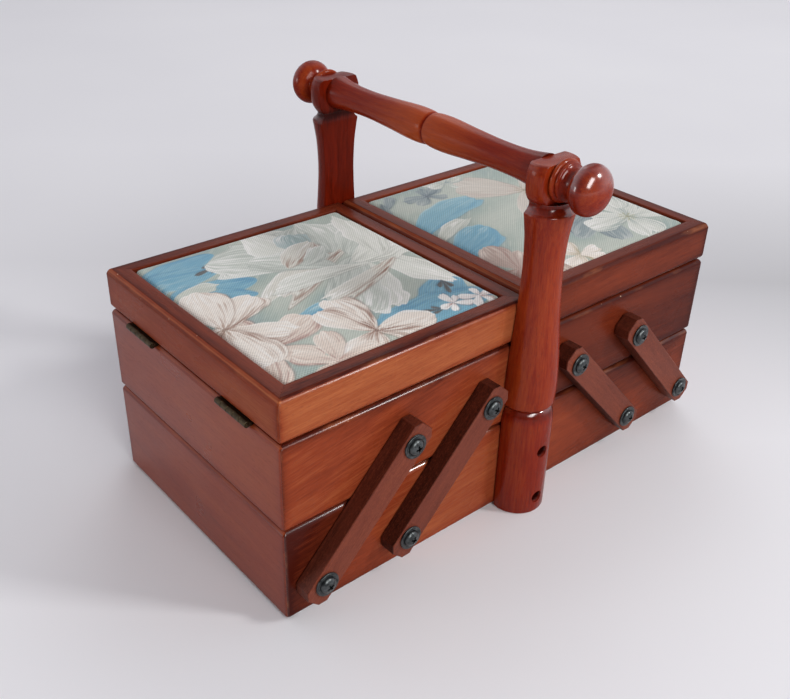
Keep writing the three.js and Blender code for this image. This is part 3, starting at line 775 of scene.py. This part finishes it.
def build_knob(face):
    """Two beads and a neck on the post's head, and a flattened ball."""
    sign = FACES[face]
    low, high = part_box(f"{face}_knob")
    centre = middle(f"{face}_knob")
    seat = outer_y(f"{face}_post", -sign) + sign * (POST_FLAT + HEAD_OUTER_FLAT) * MM
    ball_radius = (high.x - low.x) / 2 / MM
    ball_centre = abs(outer_y(f"{face}_knob", sign) - seat) / MM - BALL_HALF
    outline = [(0.1, 0.0), (9.7, 0.0)] + arc((9.2, 1.6), (1.5, 1.5), -70, 62, 10)
    outline += arc((8.6, 4.2), (1.1, 1.1), -60, 66, 8)
    outline += spline([(8.6, 5.4), (7.6, 6.4), (7.1, 8.0), (7.05, 9.4)], 4)
    outline += arc((0, ball_centre), (ball_radius, BALL_HALF), -55, 89.5, 28)
    turn = facing_out(centre.x, seat, centre.z, sign)
    knob = revolve(f"{face}_knob_turned", in_metres(outline), RED_MAHOGANY, turn, 80)
    lay_grain(knob, (0, 1, 0))
    p = positions(knob)
    along = np.abs(p[:, 1] - seat) / MM
    radius = np.hypot(p[:, 0] - centre.x, p[:, 2] - centre.z) / MM
    # painted shade: darker in the neck between the collar and the ball, and round the ball's rim
    painted_shade = smooth_step(ball_centre - along, 0, 6) * smooth_step(11.5 - radius, 0, 3)
    painted_shade = np.maximum(painted_shade, 0.7 * smooth_step(radius, ball_radius - 1.6, ball_radius))
    on_collar = smooth_step(ball_centre - 0.5 * BALL_HALF - along, 0, 1)
    tone = (0.1 if sign < 0 else 0.3) - 0.5 * painted_shade + 0.25 * on_collar
    polish = turned_polish(knob, 0.0, 0.4) * (1 if sign < 0 else FAR_GLOSS) * (1 - 0.7 * on_collar)
    lay_finish(knob, tone, figure=0.8, polish=polish)
    stand_in(knob, f"{face}_knob")


# --- screws
# how far the slots of the screws at an arm's two ends are turned, in radians
PIVOT_SPINS = {"outer": {"lower": 0.5, "upper": 0.1}, "inner": {"lower": 1.2, "upper": 1.0}}


def cross_cutters(length, width, floor, top, turn):
    """The two slots of a cross recess, with sides that taper to the floor."""
    cutters = []
    for quarter in (0, 1):
        spun = turn @ Matrix.Rotation(quarter * math.pi / 2, 4, "Z")
        corners = []
        for height, share in ((floor, 0.35), (top, 1.0)):
            half, side = length / 2 * (0.45 + 0.55 * share), width / 2 * (0.6 + 0.4 * share)
            for x, y in ((-half, -side), (half, -side), (half, side), (-half, side)):
                corners.append(spun @ Vector((x, y, height)))
        faces = [(0, 1, 2, 3), (4, 5, 6, 7), (0, 1, 5, 4), (1, 2, 6, 5), (2, 3, 7, 6), (3, 0, 4, 7)]
        cutters.append(make_object("cutter", corners, faces, DARK_STEEL))
    return cutters


def build_pivot_screw(label, end, spin):
    """A cup washer with a rolled rim, and a round cross-slot head in it."""
    node = f"{label}_{end}_pivot_screw"
    sign = -1 if "_front_" in node else 1
    centre = middle(node)
    seat = outer_y(f"{label}_arm", sign)
    turn = facing_out(centre.x, seat, centre.z, sign, spin)
    rim = [(6.1, 0.02), (6.45, 0.1)] + arc((6.05, 0.62), (0.5, 0.5), -60, 100, 8)
    dish = spline([(5.7, 1.0), (5.2, 0.86), (4.85, 0.95)], 3)
    cup = in_metres([(0.1, 0.02), *rim, *dish, (4.8, 0.7), (0.1, 0.7)])
    washer = revolve(f"{label}_{end}_cup_washer", cup, DARK_STEEL, turn, 48, METAL_SHARP_ANGLE)
    dome = in_metres([(0.1, 0.5), (4.35, 0.5), (4.5, 0.95)] + arc((0, 0.9), (4.5, 2.7), 8, 89, 14))
    head = revolve(f"{label}_{end}_screw_head", dome, DARK_STEEL, turn, 48, METAL_SHARP_ANGLE)
    subtract(head, cross_cutters(4.6 * MM, 1.15 * MM, 1.7 * MM, 5 * MM, turn))
    for piece in (washer, head):
        stand_in(piece, node)


def build_post_screw(face, level):
    """The head that shows in a post's countersunk bore."""
    node = f"{face}_post_screw_{level}"
    sign = FACES[face]
    centre = middle(node)
    turn = facing_out(centre.x, outer_y(node, sign), centre.z, sign, POST_SCREW_SPINS[level])
    outline = [(0.1, -1.8), (2.45, -1.8), (2.45, -0.7)] + arc((0, -0.7), (2.4, 0.7), 5, 88, 8)
    name = f"{face}_post_screw_head_{level}"
    screw = revolve(name, in_metres(outline), DARK_STEEL, turn, 32, METAL_SHARP_ANGLE)
    subtract(screw, cross_cutters(3 * MM, 0.8 * MM, -1.1 * MM, 1 * MM, turn))
    stand_in(screw, node)


# --- hinges
KNUCKLES = 5
KNUCKLE_RADIUS = 1.75 * MM
PIN_RADIUS = 1.0 * MM
PIN_OVERHANG = 0.35 * MM  # beyond the last knuckles
KNUCKLE_GAP = 0.1 * MM  # left free at each end of a knuckle
PIN_DEPTH = 1.8 * MM  # from the knuckles' outside to the pin's axis
LEAF_HEIGHTS = (0.15 * MM, 1.05 * MM)  # of a leaf's two faces, from the pin's axis


def hinge_rod(name, radius, start, stop, ease, turn, segments):
    """A rod between two places along the hinge's axis. ease is its end edges' chamfer: (across, along)."""
    outline = [(0.1 * MM, start), (radius - ease[0], start), (radius, start + ease[1])]
    outline += [(across, start + stop - along) for across, along in reversed(outline)]
    return revolve(name, outline, AGED_BRASS, turn, segments)


def build_hinge(side, face):
    """A small butt hinge: two leaves let into the edges, their knuckles in turn, and a pin."""
    outward = SIDES[side]
    hinge = f"{side}_{face}_hinge"
    tray_low, tray_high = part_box(f"{hinge}_tray_leaf")
    lid_low, lid_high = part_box(f"{hinge}_lid_leaf")
    inner, outer = (tray_low.x, tray_high.x)[::outward]
    start, stop = tray_low.y, tray_high.y
    axis_x = outer - outward * PIN_DEPTH
    axis_z = (min(tray_low.z, lid_low.z) + max(tray_high.z, lid_high.z)) / 2
    turn = facing_out(axis_x, 0, axis_z, 1)
    pitch = (stop - start) / KNUCKLES
    knuckle_ends = [start + pitch * k for k in range(KNUCKLES + 1)]
    left, right = sorted((inner, axis_x - outward * PIN_RADIUS))
    for first, (part, upward) in enumerate((("tray", -1), ("lid", 1))):
        pieces = []
        for k in range(first, KNUCKLES, 2):
            ends = (knuckle_ends[k] + KNUCKLE_GAP, knuckle_ends[k + 1] - KNUCKLE_GAP)
            pieces.append(hinge_rod("knuckle", KNUCKLE_RADIUS, *ends, (0.25 * MM, 0.25 * MM), turn, 28))
        bottom, top = sorted(axis_z + upward * height for height in LEAF_HEIGHTS)
        pieces.append(block("leaf", (left, start, bottom), (right, stop, top)))
        leaf = join_pieces(f"{hinge}_{part}_half", pieces)
        leaf.data.materials.append(AGED_BRASS)
        stand_in(leaf, f"{hinge}_{part}_leaf")
    ends = (start - PIN_OVERHANG, stop + PIN_OVERHANG)
    pin = hinge_rod(f"{hinge}_pin", PIN_RADIUS, *ends, (0.3 * MM, 0.45 * MM), turn, 20)
    stand_in(pin, f"{hinge}_tray_leaf")


def join_pieces(name, pieces):
    """Joins pieces into one mesh."""
    whole = bmesh.new()
    for piece in pieces:
        whole.from_mesh(piece.data)
        bpy.data.objects.remove(piece)
    mesh = bpy.data.meshes.new(name)
    whole.to_mesh(mesh)
    whole.free()
    mesh.shade_smooth()
    mesh.set_sharp_from_angle(angle=SHARP_ANGLE)
    return link(name, mesh)


# --- padded lids
THREAD_PITCH = 0.8 * MM
PAD_SWELL = 0.9 * MM  # how far the filling lifts the middle of the cloth
PAD_FREE_DEPTH = 3.2 * MM  # below its top, where the cloth is free to move
PAD_VOXEL = 2 * MM
SWELL_FRAMES = 20
FILLING_PRESSURE = 4

SAGE, SAGE_DEEP, SAGE_LIGHT = (177, 190, 180), (157, 177, 176), (205, 210, 198)
BLUE, BLUE_DEEP, BLUE_PALE = (124, 178, 200), (94, 152, 188), (196, 220, 222)
CREAM, WHITE, TAUPE, MAUVE = (244, 234, 222), (255, 253, 249), (138, 98, 82), (162, 118, 110)
PETAL_GREY, STONE, TEAL_GREY, TWIG = (206, 212, 202), (158, 166, 158), (128, 150, 156), (96, 96, 96)
CANVAS_STEP = 0.25  # millimetres between the points that the print is painted at


def blend(ground, colour, share):
    """Lays a colour over a ground, which it changes, as thickly as share says."""
    ground += (np.array(colour, float) - ground) * np.clip(share, 0, 1)[..., None]


def lattice_noise(x, y, seed):
    """Smooth noise from 0 to 1 between random values at whole numbers."""
    x0, y0 = np.floor(x), np.floor(y)
    fx, fy = x - x0, y - y0
    fx, fy = fx * fx * (3 - 2 * fx), fy * fy * (3 - 2 * fy)

    def value(i, j):
        mixed = np.sin(i * 127.1 + j * 311.7 + seed * 74.7) * 43758.5453
        return mixed - np.floor(mixed)

    low = value(x0, y0) * (1 - fx) + value(x0 + 1, y0) * fx
    high = value(x0, y0 + 1) * (1 - fx) + value(x0 + 1, y0 + 1) * fx
    return low * (1 - fy) + high * fy


class Print:
    """A printed cloth, painted shape over shape on a canvas of (u, v) millimetres from the middle."""

    def __init__(self, half):
        self.half = half
        marks = np.arange(-half, half + CANVAS_STEP, CANVAS_STEP)
        self.u, self.v = np.meshgrid(marks, marks)
        self.shape_count = 0
        self.colour = np.empty((*self.u.shape, 3))
        self.colour[:] = SAGE
        everywhere = (slice(None), slice(None))
        cloud = lattice_noise(self.u / 26, self.v / 22, 3)
        brushed = lattice_noise((self.u + self.v) / 14, (self.u - self.v) / 1.3, 4)
        self.lay(everywhere, SAGE_DEEP, smooth_step(cloud, 0.45, 0.95))
        self.lay(everywhere, SAGE_LIGHT, 0.75 * smooth_step(1 - cloud, 0.4, 0.9))
        self.lay(everywhere, SAGE_LIGHT, 0.5 * smooth_step(brushed, 0.5, 1.0))

    def lay(self, window, colour, share):
        blend(self.colour[window], colour, share)

    def window(self, centre, reach):
        """The part of the canvas within reach of a point."""
        spans = []
        for place in (centre[1], centre[0]):
            first = int((place - reach + self.half) / CANVAS_STEP)
            last = int((place + reach + self.half) / CANVAS_STEP) + 2
            spans.append(slice(max(first, 0), max(last, 0)))
        return tuple(spans)

    def petal(self, base, angle, length, width, inks, bend=0.0, streaks=0.8, ruffle=0.06, full=0.7, lit=1):
        """A petal or leaf from its base outwards. inks are its body, shaded strokes and light strokes, bend
        curves it, full moves its widest place, and lit is the side, 1 or -1, that its light rim is on."""
        body, dark, light = inks
        self.shape_count += 1
        seed = self.shape_count
        window = self.window(base, 1.15 * length + 3)
        u, v = self.u[window] - base[0], self.v[window] - base[1]
        if not u.size:
            return
        turn = math.radians(angle)
        along = (u * math.cos(turn) + v * math.sin(turn)) / length
        across = v * math.cos(turn) - u * math.sin(turn)
        across = across - bend * length * along * along
        frill = lattice_noise(across / (0.17 * width) + 9, 0, seed) - 0.5
        frill += 0.25 * (lattice_noise(across / (0.08 * width) + 9, 0, seed + 50) - 0.5)
        along = along * (1 + 2 * ruffle * frill)
        inside = np.clip(along, 1e-4, 1)
        outline = width / 2 * inside**full * np.sqrt(1 - inside**5) / 0.8
        outline = outline * (1 + 2 * ruffle * (lattice_noise(inside * 6, 0, seed + 7) - 0.5))
        outline[(along <= 0) | (along >= 1)] = 0
        depth = np.where(outline > 0, outline - np.abs(across), -9)
        side = np.clip(across / np.maximum(outline, 0.3), -1, 1) * lit

        shadow = 0.3 * smooth_step(depth, -1.6, 0.2) * smooth_step(side, 0.3, -0.6)
        self.lay(window, np.array(dark) * 0.85, shadow)
        fan = side * width / 2 * (0.6 + 0.4 * inside)
        wander = 1.2 * lattice_noise(inside * 3, side * 2, seed + 11)
        fine = lattice_noise((fan + wander) / 0.62, inside * length / 8, seed + 20)
        broad = lattice_noise((fan + wander) / 1.9, inside * length / 14, seed + 30)
        stroke = 0.6 * fine + 0.4 * broad
        mask = smooth_step(depth + 0.5 * (fine - 0.5), -0.2, 0.35)
        paint = np.empty((*u.shape, 3))
        paint[:] = body
        shaded = smooth_step(-side, -0.2, 1.0) * 0.75 + 0.7 * (1 - smooth_step(inside, 0.0, 0.55))
        darkness = smooth_step(1 - stroke, 0.42, 0.75) * np.clip(shaded, 0, 1) * streaks
        blend(paint, dark, darkness)
        rim = np.exp(-np.maximum(depth, 0) / (0.05 * width + 0.4)) * smooth_step(inside, 0.15, 0.6)
        rim *= 0.3 + 0.7 * smooth_step(side, -0.5, 0.6)
        tip = smooth_step(inside, 0.45, 1.0) * smooth_step(side, -1.0, 0.4)
        lightness = smooth_step(stroke, 0.4, 0.72) * np.clip(0.25 + tip, 0, 1) * streaks
        lightness = np.clip(np.maximum(lightness, rim * (0.55 + 0.6 * fine)), 0, 0.95)
        blend(paint, light, lightness)
        self.lay(window, paint, mask)

    def flower(self, centre, radius, turn, petals, inks, width=0.8, bend=0.1, **looks):
        """Petals round a centre, the first one at turn degrees. width is a share of their length."""
        for k in range(petals):
            angle = turn + 360 * k / petals + 13 * math.sin(3.1 * k + radius)
            size = radius * (1 + 0.16 * math.sin(2.3 * k + turn))
            lit = 1 if math.cos(math.radians(angle - 40)) > 0 else -1
            self.petal(centre, angle, size, width * size, inks, bend=bend * (-1) ** k, lit=lit, **looks)

    def heart(self, centre, radius, colour, spokes=9):
        """The stamens in a flower's middle."""
        window = self.window(centre, radius)
        u, v = self.u[window] - centre[0], self.v[window] - centre[1]
        far = np.hypot(u, v) / radius
        rays = 0.5 + 0.5 * np.cos(spokes * np.arctan2(v, u) + 2.2 * far)
        self.lay(window, colour, 0.7 * rays**3 * smooth_step(far, 1.0, 0.5) * smooth_step(far, 0.02, 0.2))
        self.lay(window, np.array(colour) * 0.8, 0.55 * smooth_step(far, 0.3, 0.1))

    def twig(self, base, angle, length):
        """Three narrow dark leaves from one base."""
        inks = (TWIG, (66, 70, 74), (130, 132, 130))
        for side in (-26, 0, 24):
            self.petal(base, angle + side, length * (1 - abs(side) / 60), 0.24 * length, inks, full=1.1)

    def at(self, u, v):
        """The colours at places on the cloth, between the canvas's points."""
        column = np.clip((u + self.half) / CANVAS_STEP, 0, self.u.shape[1] - 2)
        row = np.clip((v + self.half) / CANVAS_STEP, 0, self.u.shape[0] - 2)
        i, j = row.astype(int), column.astype(int)
        fi, fj = (row - i)[:, None], (column - j)[:, None]
        near = self.colour[i, j] * (1 - fj) + self.colour[i, j + 1] * fj
        far = self.colour[i + 1, j] * (1 - fj) + self.colour[i + 1, j + 1] * fj
        return near * (1 - fi) + far * fi


def print_left(cloth):
    """Blue leaves, a large pale bloom and small cream flowers."""
    blue = (BLUE, BLUE_DEEP, BLUE_PALE)
    for base, angle, length, width, bend in (
        ((-24, 60), 190, 56, 26, 0.12),
        ((-26, 44), 182, 48, 22, -0.1),
        ((-22, 20), 172, 50, 26, 0.1),
        ((-30, 6), 150, 42, 18, -0.12),
        ((66, -34), 216, 52, 30, 0.1),
        ((70, -60), 176, 70, 30, 0.06),
        ((-38, -30), 10, 30, 9, 0.1),
    ):
        cloth.petal(base, angle, length, width, blue, bend=bend, streaks=0.85, full=0.5, ruffle=0.1)
    cloth.petal((-68, 26), 14, 26, 13, (SAGE_LIGHT, SAGE, WHITE), bend=-0.2, streaks=0.5)
    cloth.twig((-28, 46), 192, 17)

    cool, warm = (PETAL_GREY, STONE, WHITE), ((222, 220, 208), TAUPE, WHITE)
    pale = ((226, 228, 218), (178, 180, 170), WHITE)
    for base, angle, length, width, inks, bend, lit in (
        ((44, 18), 282, 62, 26, pale, 0.1, -1),
        ((34, 6), 250, 58, 34, pale, -0.12, 1),
        ((36, 12), 228, 66, 34, cool, 0.15, 1),
        ((42, 26), 196, 74, 26, warm, 0.16, -1),
        ((30, 26), 172, 62, 34, cool, -0.14, 1),
        ((20, 20), 142, 58, 46, cool, 0.12, 1),
        ((16, 24), 108, 46, 42, pale, -0.1, 1),
        ((28, 22), 72, 44, 40, cool, 0.14, -1),
        ((34, 14), 40, 44, 34, cool, -0.1, 1),
        ((30, 6), 6, 40, 30, pale, 0.1, 1),
        ((48, 4), 62, 54, 30, pale, 0.22, 1),
        ((20, 8), 126, 42, 30, cool, 0.18, -1),
        ((16, 30), 84, 28, 24, ((168, 190, 188), STONE, WHITE), -0.15, 1),
        ((-2, 20), 48, 34, 20, warm, -0.2, 1),
        ((36, 0), 168, 56, 16, pale, 0.14, -1),
        ((52, -2), 206, 62, 15, warm, -0.12, -1),
        ((6, 18), 20, 24, 15, cool, 0.2, 1),
    ):
        looks = {"streaks": 0.85, "ruffle": 0.12, "full": 0.6, "lit": lit}
        cloth.petal(base, angle, length, width, inks, bend=bend, **looks)
    cloth.twig((54, -38), 246, 15)
    cloth.twig((34, -62), 158, 12)

    cream, rosy = (CREAM, TAUPE, WHITE), ((232, 216, 202), MAUVE, (250, 242, 232))
    cloth.flower((-56, -40), 31, 20, 5, rosy, width=0.7, streaks=0.9)
    cloth.flower((-62, -14), 36, -34, 6, cream, width=0.68, streaks=0.8)
    cloth.heart((-62, -14), 7, (158, 122, 102))
    cloth.flower((-6, -58), 33, 70, 6, cream, width=0.62, streaks=0.95)
    cloth.heart((-6, -58), 6, (150, 112, 96))
    cloth.flower((-36, -68), 25, 66, 5, rosy, width=0.66, streaks=0.95)
    cloth.flower((42, -60), 9, 30, 5, (WHITE, MAUVE, WHITE), width=0.62)
    cloth.flower((58, -62), 10, 80, 5, (WHITE, MAUVE, WHITE), width=0.62)


def print_right(cloth):
    """A large pale lily, grey leaves and smaller flowers round it."""
    blue = (BLUE, BLUE_DEEP, BLUE_PALE)
    grey = ((148, 162, 164), (88, 104, 114), (196, 202, 198))
    soft_blue = ((138, 186, 202), BLUE_DEEP, BLUE_PALE)
    cloth.petal((-74, 10), 36, 66, 26, soft_blue, bend=-0.3, streaks=0.5, full=0.5)
    cloth.petal((-76, -22), 14, 44, 30, blue, bend=0.16, streaks=0.6, full=0.55)
    cloth.petal((-74, -6), 40, 40, 14, (SAGE_LIGHT, STONE, WHITE), bend=-0.25)
    cloth.petal((-66, 50), 40, 22, 9, grey, bend=0.1)
    cloth.petal((-62, 60), 250, 22, 8, grey, bend=-0.1)
    cloth.flower((-32, 52), 15, 15, 5, grey, width=0.7, streaks=0.95)
    cloth.heart((-32, 52), 4, (110, 120, 136), 5)
    cloth.flower((-8, 62), 14, -10, 5, (SAGE_LIGHT, TEAL_GREY, WHITE), width=0.66, streaks=0.8)
    lily = ((214, 206, 194), (188, 164, 154), (232, 226, 216))
    cloth.flower((24, 22), 46, 104, 6, lily, width=0.56, bend=0.12, streaks=0.55)
    cloth.heart((24, 22), 8, (176, 158, 128))
    cloth.flower((-60, -54), 26, 24, 5, ((190, 168, 156), MAUVE, CREAM), width=0.72, streaks=0.8)
    for angle in (120, 150, 196, 236, 62, 20):
        cloth.petal((34, -28), angle, 40, 22, grey, bend=0.14, streaks=0.95)
    pale = ((220, 222, 212), (138, 156, 152), WHITE)
    cloth.flower((44, -44), 28, 32, 7, pale, width=0.62, streaks=0.85)
    cloth.heart((44, -44), 7, (160, 158, 110))
    cloth.flower((62, -16), 20, 75, 6, pale, width=0.62, streaks=0.8)
    cloth.flower((-20, -62), 18, 10, 6, (CREAM, (178, 164, 130), WHITE), width=0.62, streaks=0.8)


def fabric():
    """Printed plain-weave cloth. The print is the cloth's own colour, kept at its points."""
    s = Shading("printed_cloth", Roughness=0.86, Sheen_Weight=0.15, Sheen_Roughness=0.5, IOR=1.4)
    place = s.object_place()
    wobble = s.noise(place, (900, 900, 900), detail=1)
    split = s.node("SeparateXYZ", {0: place})
    waves = []
    for axis in ("X", "Y"):
        run = s.math("MULTIPLY", split.outputs[axis], math.pi / THREAD_PITCH)
        waves.append(s.math("SINE", s.math("ADD", run, s.math("MULTIPLY", wobble, 1.1))))
    over = s.math("MULTIPLY", waves[0], waves[1])
    height = s.math("ADD", s.math("MULTIPLY", over, 0.5), 0.5)
    slubs = s.noise(place, (120, 1400, 400), detail=2)
    woven = s.math("ADD", s.math("MULTIPLY", height, 0.75), s.math("MULTIPLY", slubs, 0.3))
    shade = s.ramp(woven, (0.1, 0.6), (0.75, 1.0))
    printed = s.attribute("print", "Color")
    s.feed("Base Color", s.mix(1.0, printed, shade, "MULTIPLY"))
    s.bump(s.math("ADD", height, s.math("MULTIPLY", slubs, 0.6)), 0.12 * MM, 0.8)
    return s.material


def swell(pad, top):
    """Lets the filling push the cloth up: a simulation with pressure, its lower part held by the board."""
    rest = positions(pad)
    held = pad.vertex_groups.new(name="held")
    held.add(np.flatnonzero(rest[:, 2] < top - PAD_FREE_DEPTH).tolist(), 1.0, "REPLACE")
    cloth = pad.modifiers.new("cloth", "CLOTH")
    cloth.settings.use_pressure = True
    cloth.settings.uniform_pressure_force = FILLING_PRESSURE
    cloth.settings.effector_weights.gravity = 0
    cloth.settings.vertex_group_mass = held.name
    cloth.settings.quality = 6
    cloth.point_cache.frame_start, cloth.point_cache.frame_end = 1, SWELL_FRAMES
    for number in range(1, SWELL_FRAMES + 1):
        bpy.context.scene.frame_set(number)
    apply_modifiers(pad)
    bpy.context.scene.frame_set(1)
    moved = positions(pad) - rest
    furthest = np.abs(moved[:, 2]).max()
    move_vertices(pad, rest + moved * min(1.0, PAD_SWELL / max(furthest, 1e-6)))


def print_cloth(pad, side, low, high):
    """Stores the print's colour at each of the cloth's points."""
    centre = (low + high) / 2
    cloth = Print(half=max(high.x - low.x, high.y - low.y) / 2 / MM + 1)
    {"left": print_left, "right": print_right}[side](cloth)
    x, y, _ = positions(pad).T
    screen = cloth.at((x - centre.x) / MM, (y - centre.y) / MM) / 255
    rgba = np.ones((len(screen), 4), np.float32)
    rgba[:, :3] = ((screen + 0.055) / 1.055) ** 2.4
    layer = pad.data.attributes.new("print", "FLOAT_COLOR", "POINT")
    layer.data.foreach_set("color", rgba.ravel())


def build_pad(side):
    """A printed cloth over its filling, set into a lid's frame."""
    node = f"{side}_lid_fabric_pad"
    low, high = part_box(node)
    grow = Vector((0.25, 0.25, 0)) * MM  # the remesh and the subdivision round the edges off again
    start_low, start_high = low - grow, high + grow - Vector((0, 0, PAD_SWELL))
    start_low.z -= 7 * MM  # deep enough for the remesh; it is flattened on the board afterwards
    pad = block(f"{side}_padded_cloth", start_low, start_high)
    remesh = pad.modifiers.new("remesh", "REMESH")
    remesh.mode = "VOXEL"
    remesh.voxel_size = PAD_VOXEL
    apply_modifiers(pad)
    swell(pad, start_high.z)
    smooth = pad.modifiers.new("smooth", "SUBSURF")
    smooth.levels = smooth.render_levels = 2
    apply_modifiers(pad)
    points = positions(pad)
    points[:, 2] = np.clip(points[:, 2], low.z, high.z)
    move_vertices(pad, points)
    pad.data.shade_smooth()
    print_cloth(pad, side, low, high)
    pad.data.materials.clear()
    pad.data.materials.append(FABRIC)
    stand_in(pad, node)


FABRIC = fabric()


# --- light, floor and camera
SWEEP_DIRECTION = (0.655, 0.755, 0)  # horizontally away from the camera
SWEEP_ASIDE = (0.755, -0.655, 0)
FLOOR_RADIUS = 3.5
LIT_PLACE = Vector((0, 0, 0.1))  # what the softboxes face
CAMERA_PLACE = (-0.33937, -0.36595, 0.35732)
CAMERA_ANGLES = (-40.97, 30.98, 1.63)  # degrees round from the front, above the box, and of roll


def build_floor():
    """A flat pale floor, with a soft band of painted shade behind the box, stronger to its right, where a
    backdrop would curve up.
    """
    s = Shading("pale_floor", Roughness=0.75)
    place = s.object_place()
    patches = ((0.3, (0.88, 0.875, 0.9, 1)), (0.7, (0.91, 0.905, 0.925, 1)))
    cloud = s.ramp(s.noise(place, (3, 3, 3)), *patches)
    behind = s.dot(place, SWEEP_DIRECTION)
    # painted shade in a band behind the box, laid on more fully to the right by reach
    sweep_shade = s.ramp(behind, (0.0, 1.0), (0.19, 0.68), (0.22, 0.62), (0.5, 0.92), (1.0, 1.0))
    reach = s.ramp(s.math("ADD", s.dot(place, SWEEP_ASIDE), 0.5), (0.15, 0.35), (0.8, 1.0))
    s.feed("Base Color", s.mix(reach, cloud, s.mix(1.0, cloud, sweep_shade, "MULTIPLY")))
    rim = [(x, y, 0) for x, y in ring(FLOOR_RADIUS, 96)]
    floor = make_object("floor", rim, [tuple(range(len(rim)))], s.material)


def softbox(name, toward, distance, width, length, radiance, length_along=(0, 0, 1)):
    """A rectangular area light in a given direction from the box, as bright as radiance."""
    light = bpy.data.lights.new(name, "AREA")
    light.shape = "RECTANGLE"
    light.size, light.size_y = width, length
    light.energy = radiance * math.pi * width * length
    back = Vector(toward).normalized()
    across = Vector(length_along).cross(back).normalized()
    axes = Matrix((across, back.cross(across), back)).transposed()
    place = Matrix.Translation(LIT_PLACE + back * distance)
    link(name, light).matrix_world = place @ axes.to_4x4()


def build_lights():
    """A room that is pale behind the box and dark behind the camera, and four softboxes."""
    world = bpy.data.worlds.new("studio")
    bpy.context.scene.world = world
    world.use_nodes = True
    sky = Nodes(world.node_tree)
    direction = sky.node("TexCoord").outputs["Generated"]
    levels = []
    for facing, stops in (
        ((0, 0, 1), ((0.0, 0.9), (0.5, 0.72), (0.95, 0.5))),
        ((-0.62, -0.7, 0.35), ((0.0, 1.0), (0.4, 0.4), (0.7, 0.12))),
    ):
        tinted = [(place, (level, level * 0.993, level * 1.03, 1)) for place, level in stops]
        levels.append(sky.ramp(sky.dot(direction, facing), *tinted))
    both = sky.node("VectorMath", {0: levels[0], 1: levels[1]}, operation="MULTIPLY").outputs[0]
    world.node_tree.links.new(both, world.node_tree.nodes["Background"].inputs[0])
    softbox("key_softbox", (0.5, -0.62, 0.6), 3.0, 0.4, 0.4, 54.0)
    softbox("tall_softbox", (-0.18, -0.79, 0.52), 3.0, 0.9, 2.1, 7.2, (0.52, 0.19, 0.46))
    softbox("left_softbox", (-0.88, 0.42, 0.14), 3.0, 0.8, 0.8, 4.0)
    softbox("back_softbox", (0.5, 0.56, 0.66), 2.6, 1.2, 1.2, 1.6)


def build_camera():
    """The view that the box is shown from."""
    data = bpy.data.cameras.new("camera")
    data.lens, data.sensor_width = 44.48, 36
    data.clip_start, data.clip_end = 0.01, 20
    camera = link("camera", data)
    azimuth, elevation, roll = (math.radians(angle) for angle in CAMERA_ANGLES)
    facing = Matrix.Rotation(azimuth, 4, "Z") @ Matrix.Rotation(math.pi / 2 - elevation, 4, "X")
    camera.matrix_world = Matrix.Translation(CAMERA_PLACE) @ facing @ Matrix.Rotation(roll, 4, "Z")
    bpy.context.scene.camera = camera


build_base()
for side in SIDES:
    build_tray(side)
    build_lid(side)
    build_pad(side)
    for face in FACES:
        build_hinge(side, face)
        for which, spins in PIVOT_SPINS.items():
            build_arm(f"{side}_{face}_{which}")
            for end, spin in spins.items():
                build_pivot_screw(f"{side}_{face}_{which}", end, spin)
build_rail()
for face in FACES:
    build_post(face)
    build_knob(face)
    for level in POST_SCREW_HEIGHTS:
        build_post_screw(face, level)
build_floor()
build_lights()
build_camera()
bpy.context.scene.view_settings.view_transform = "Standard"
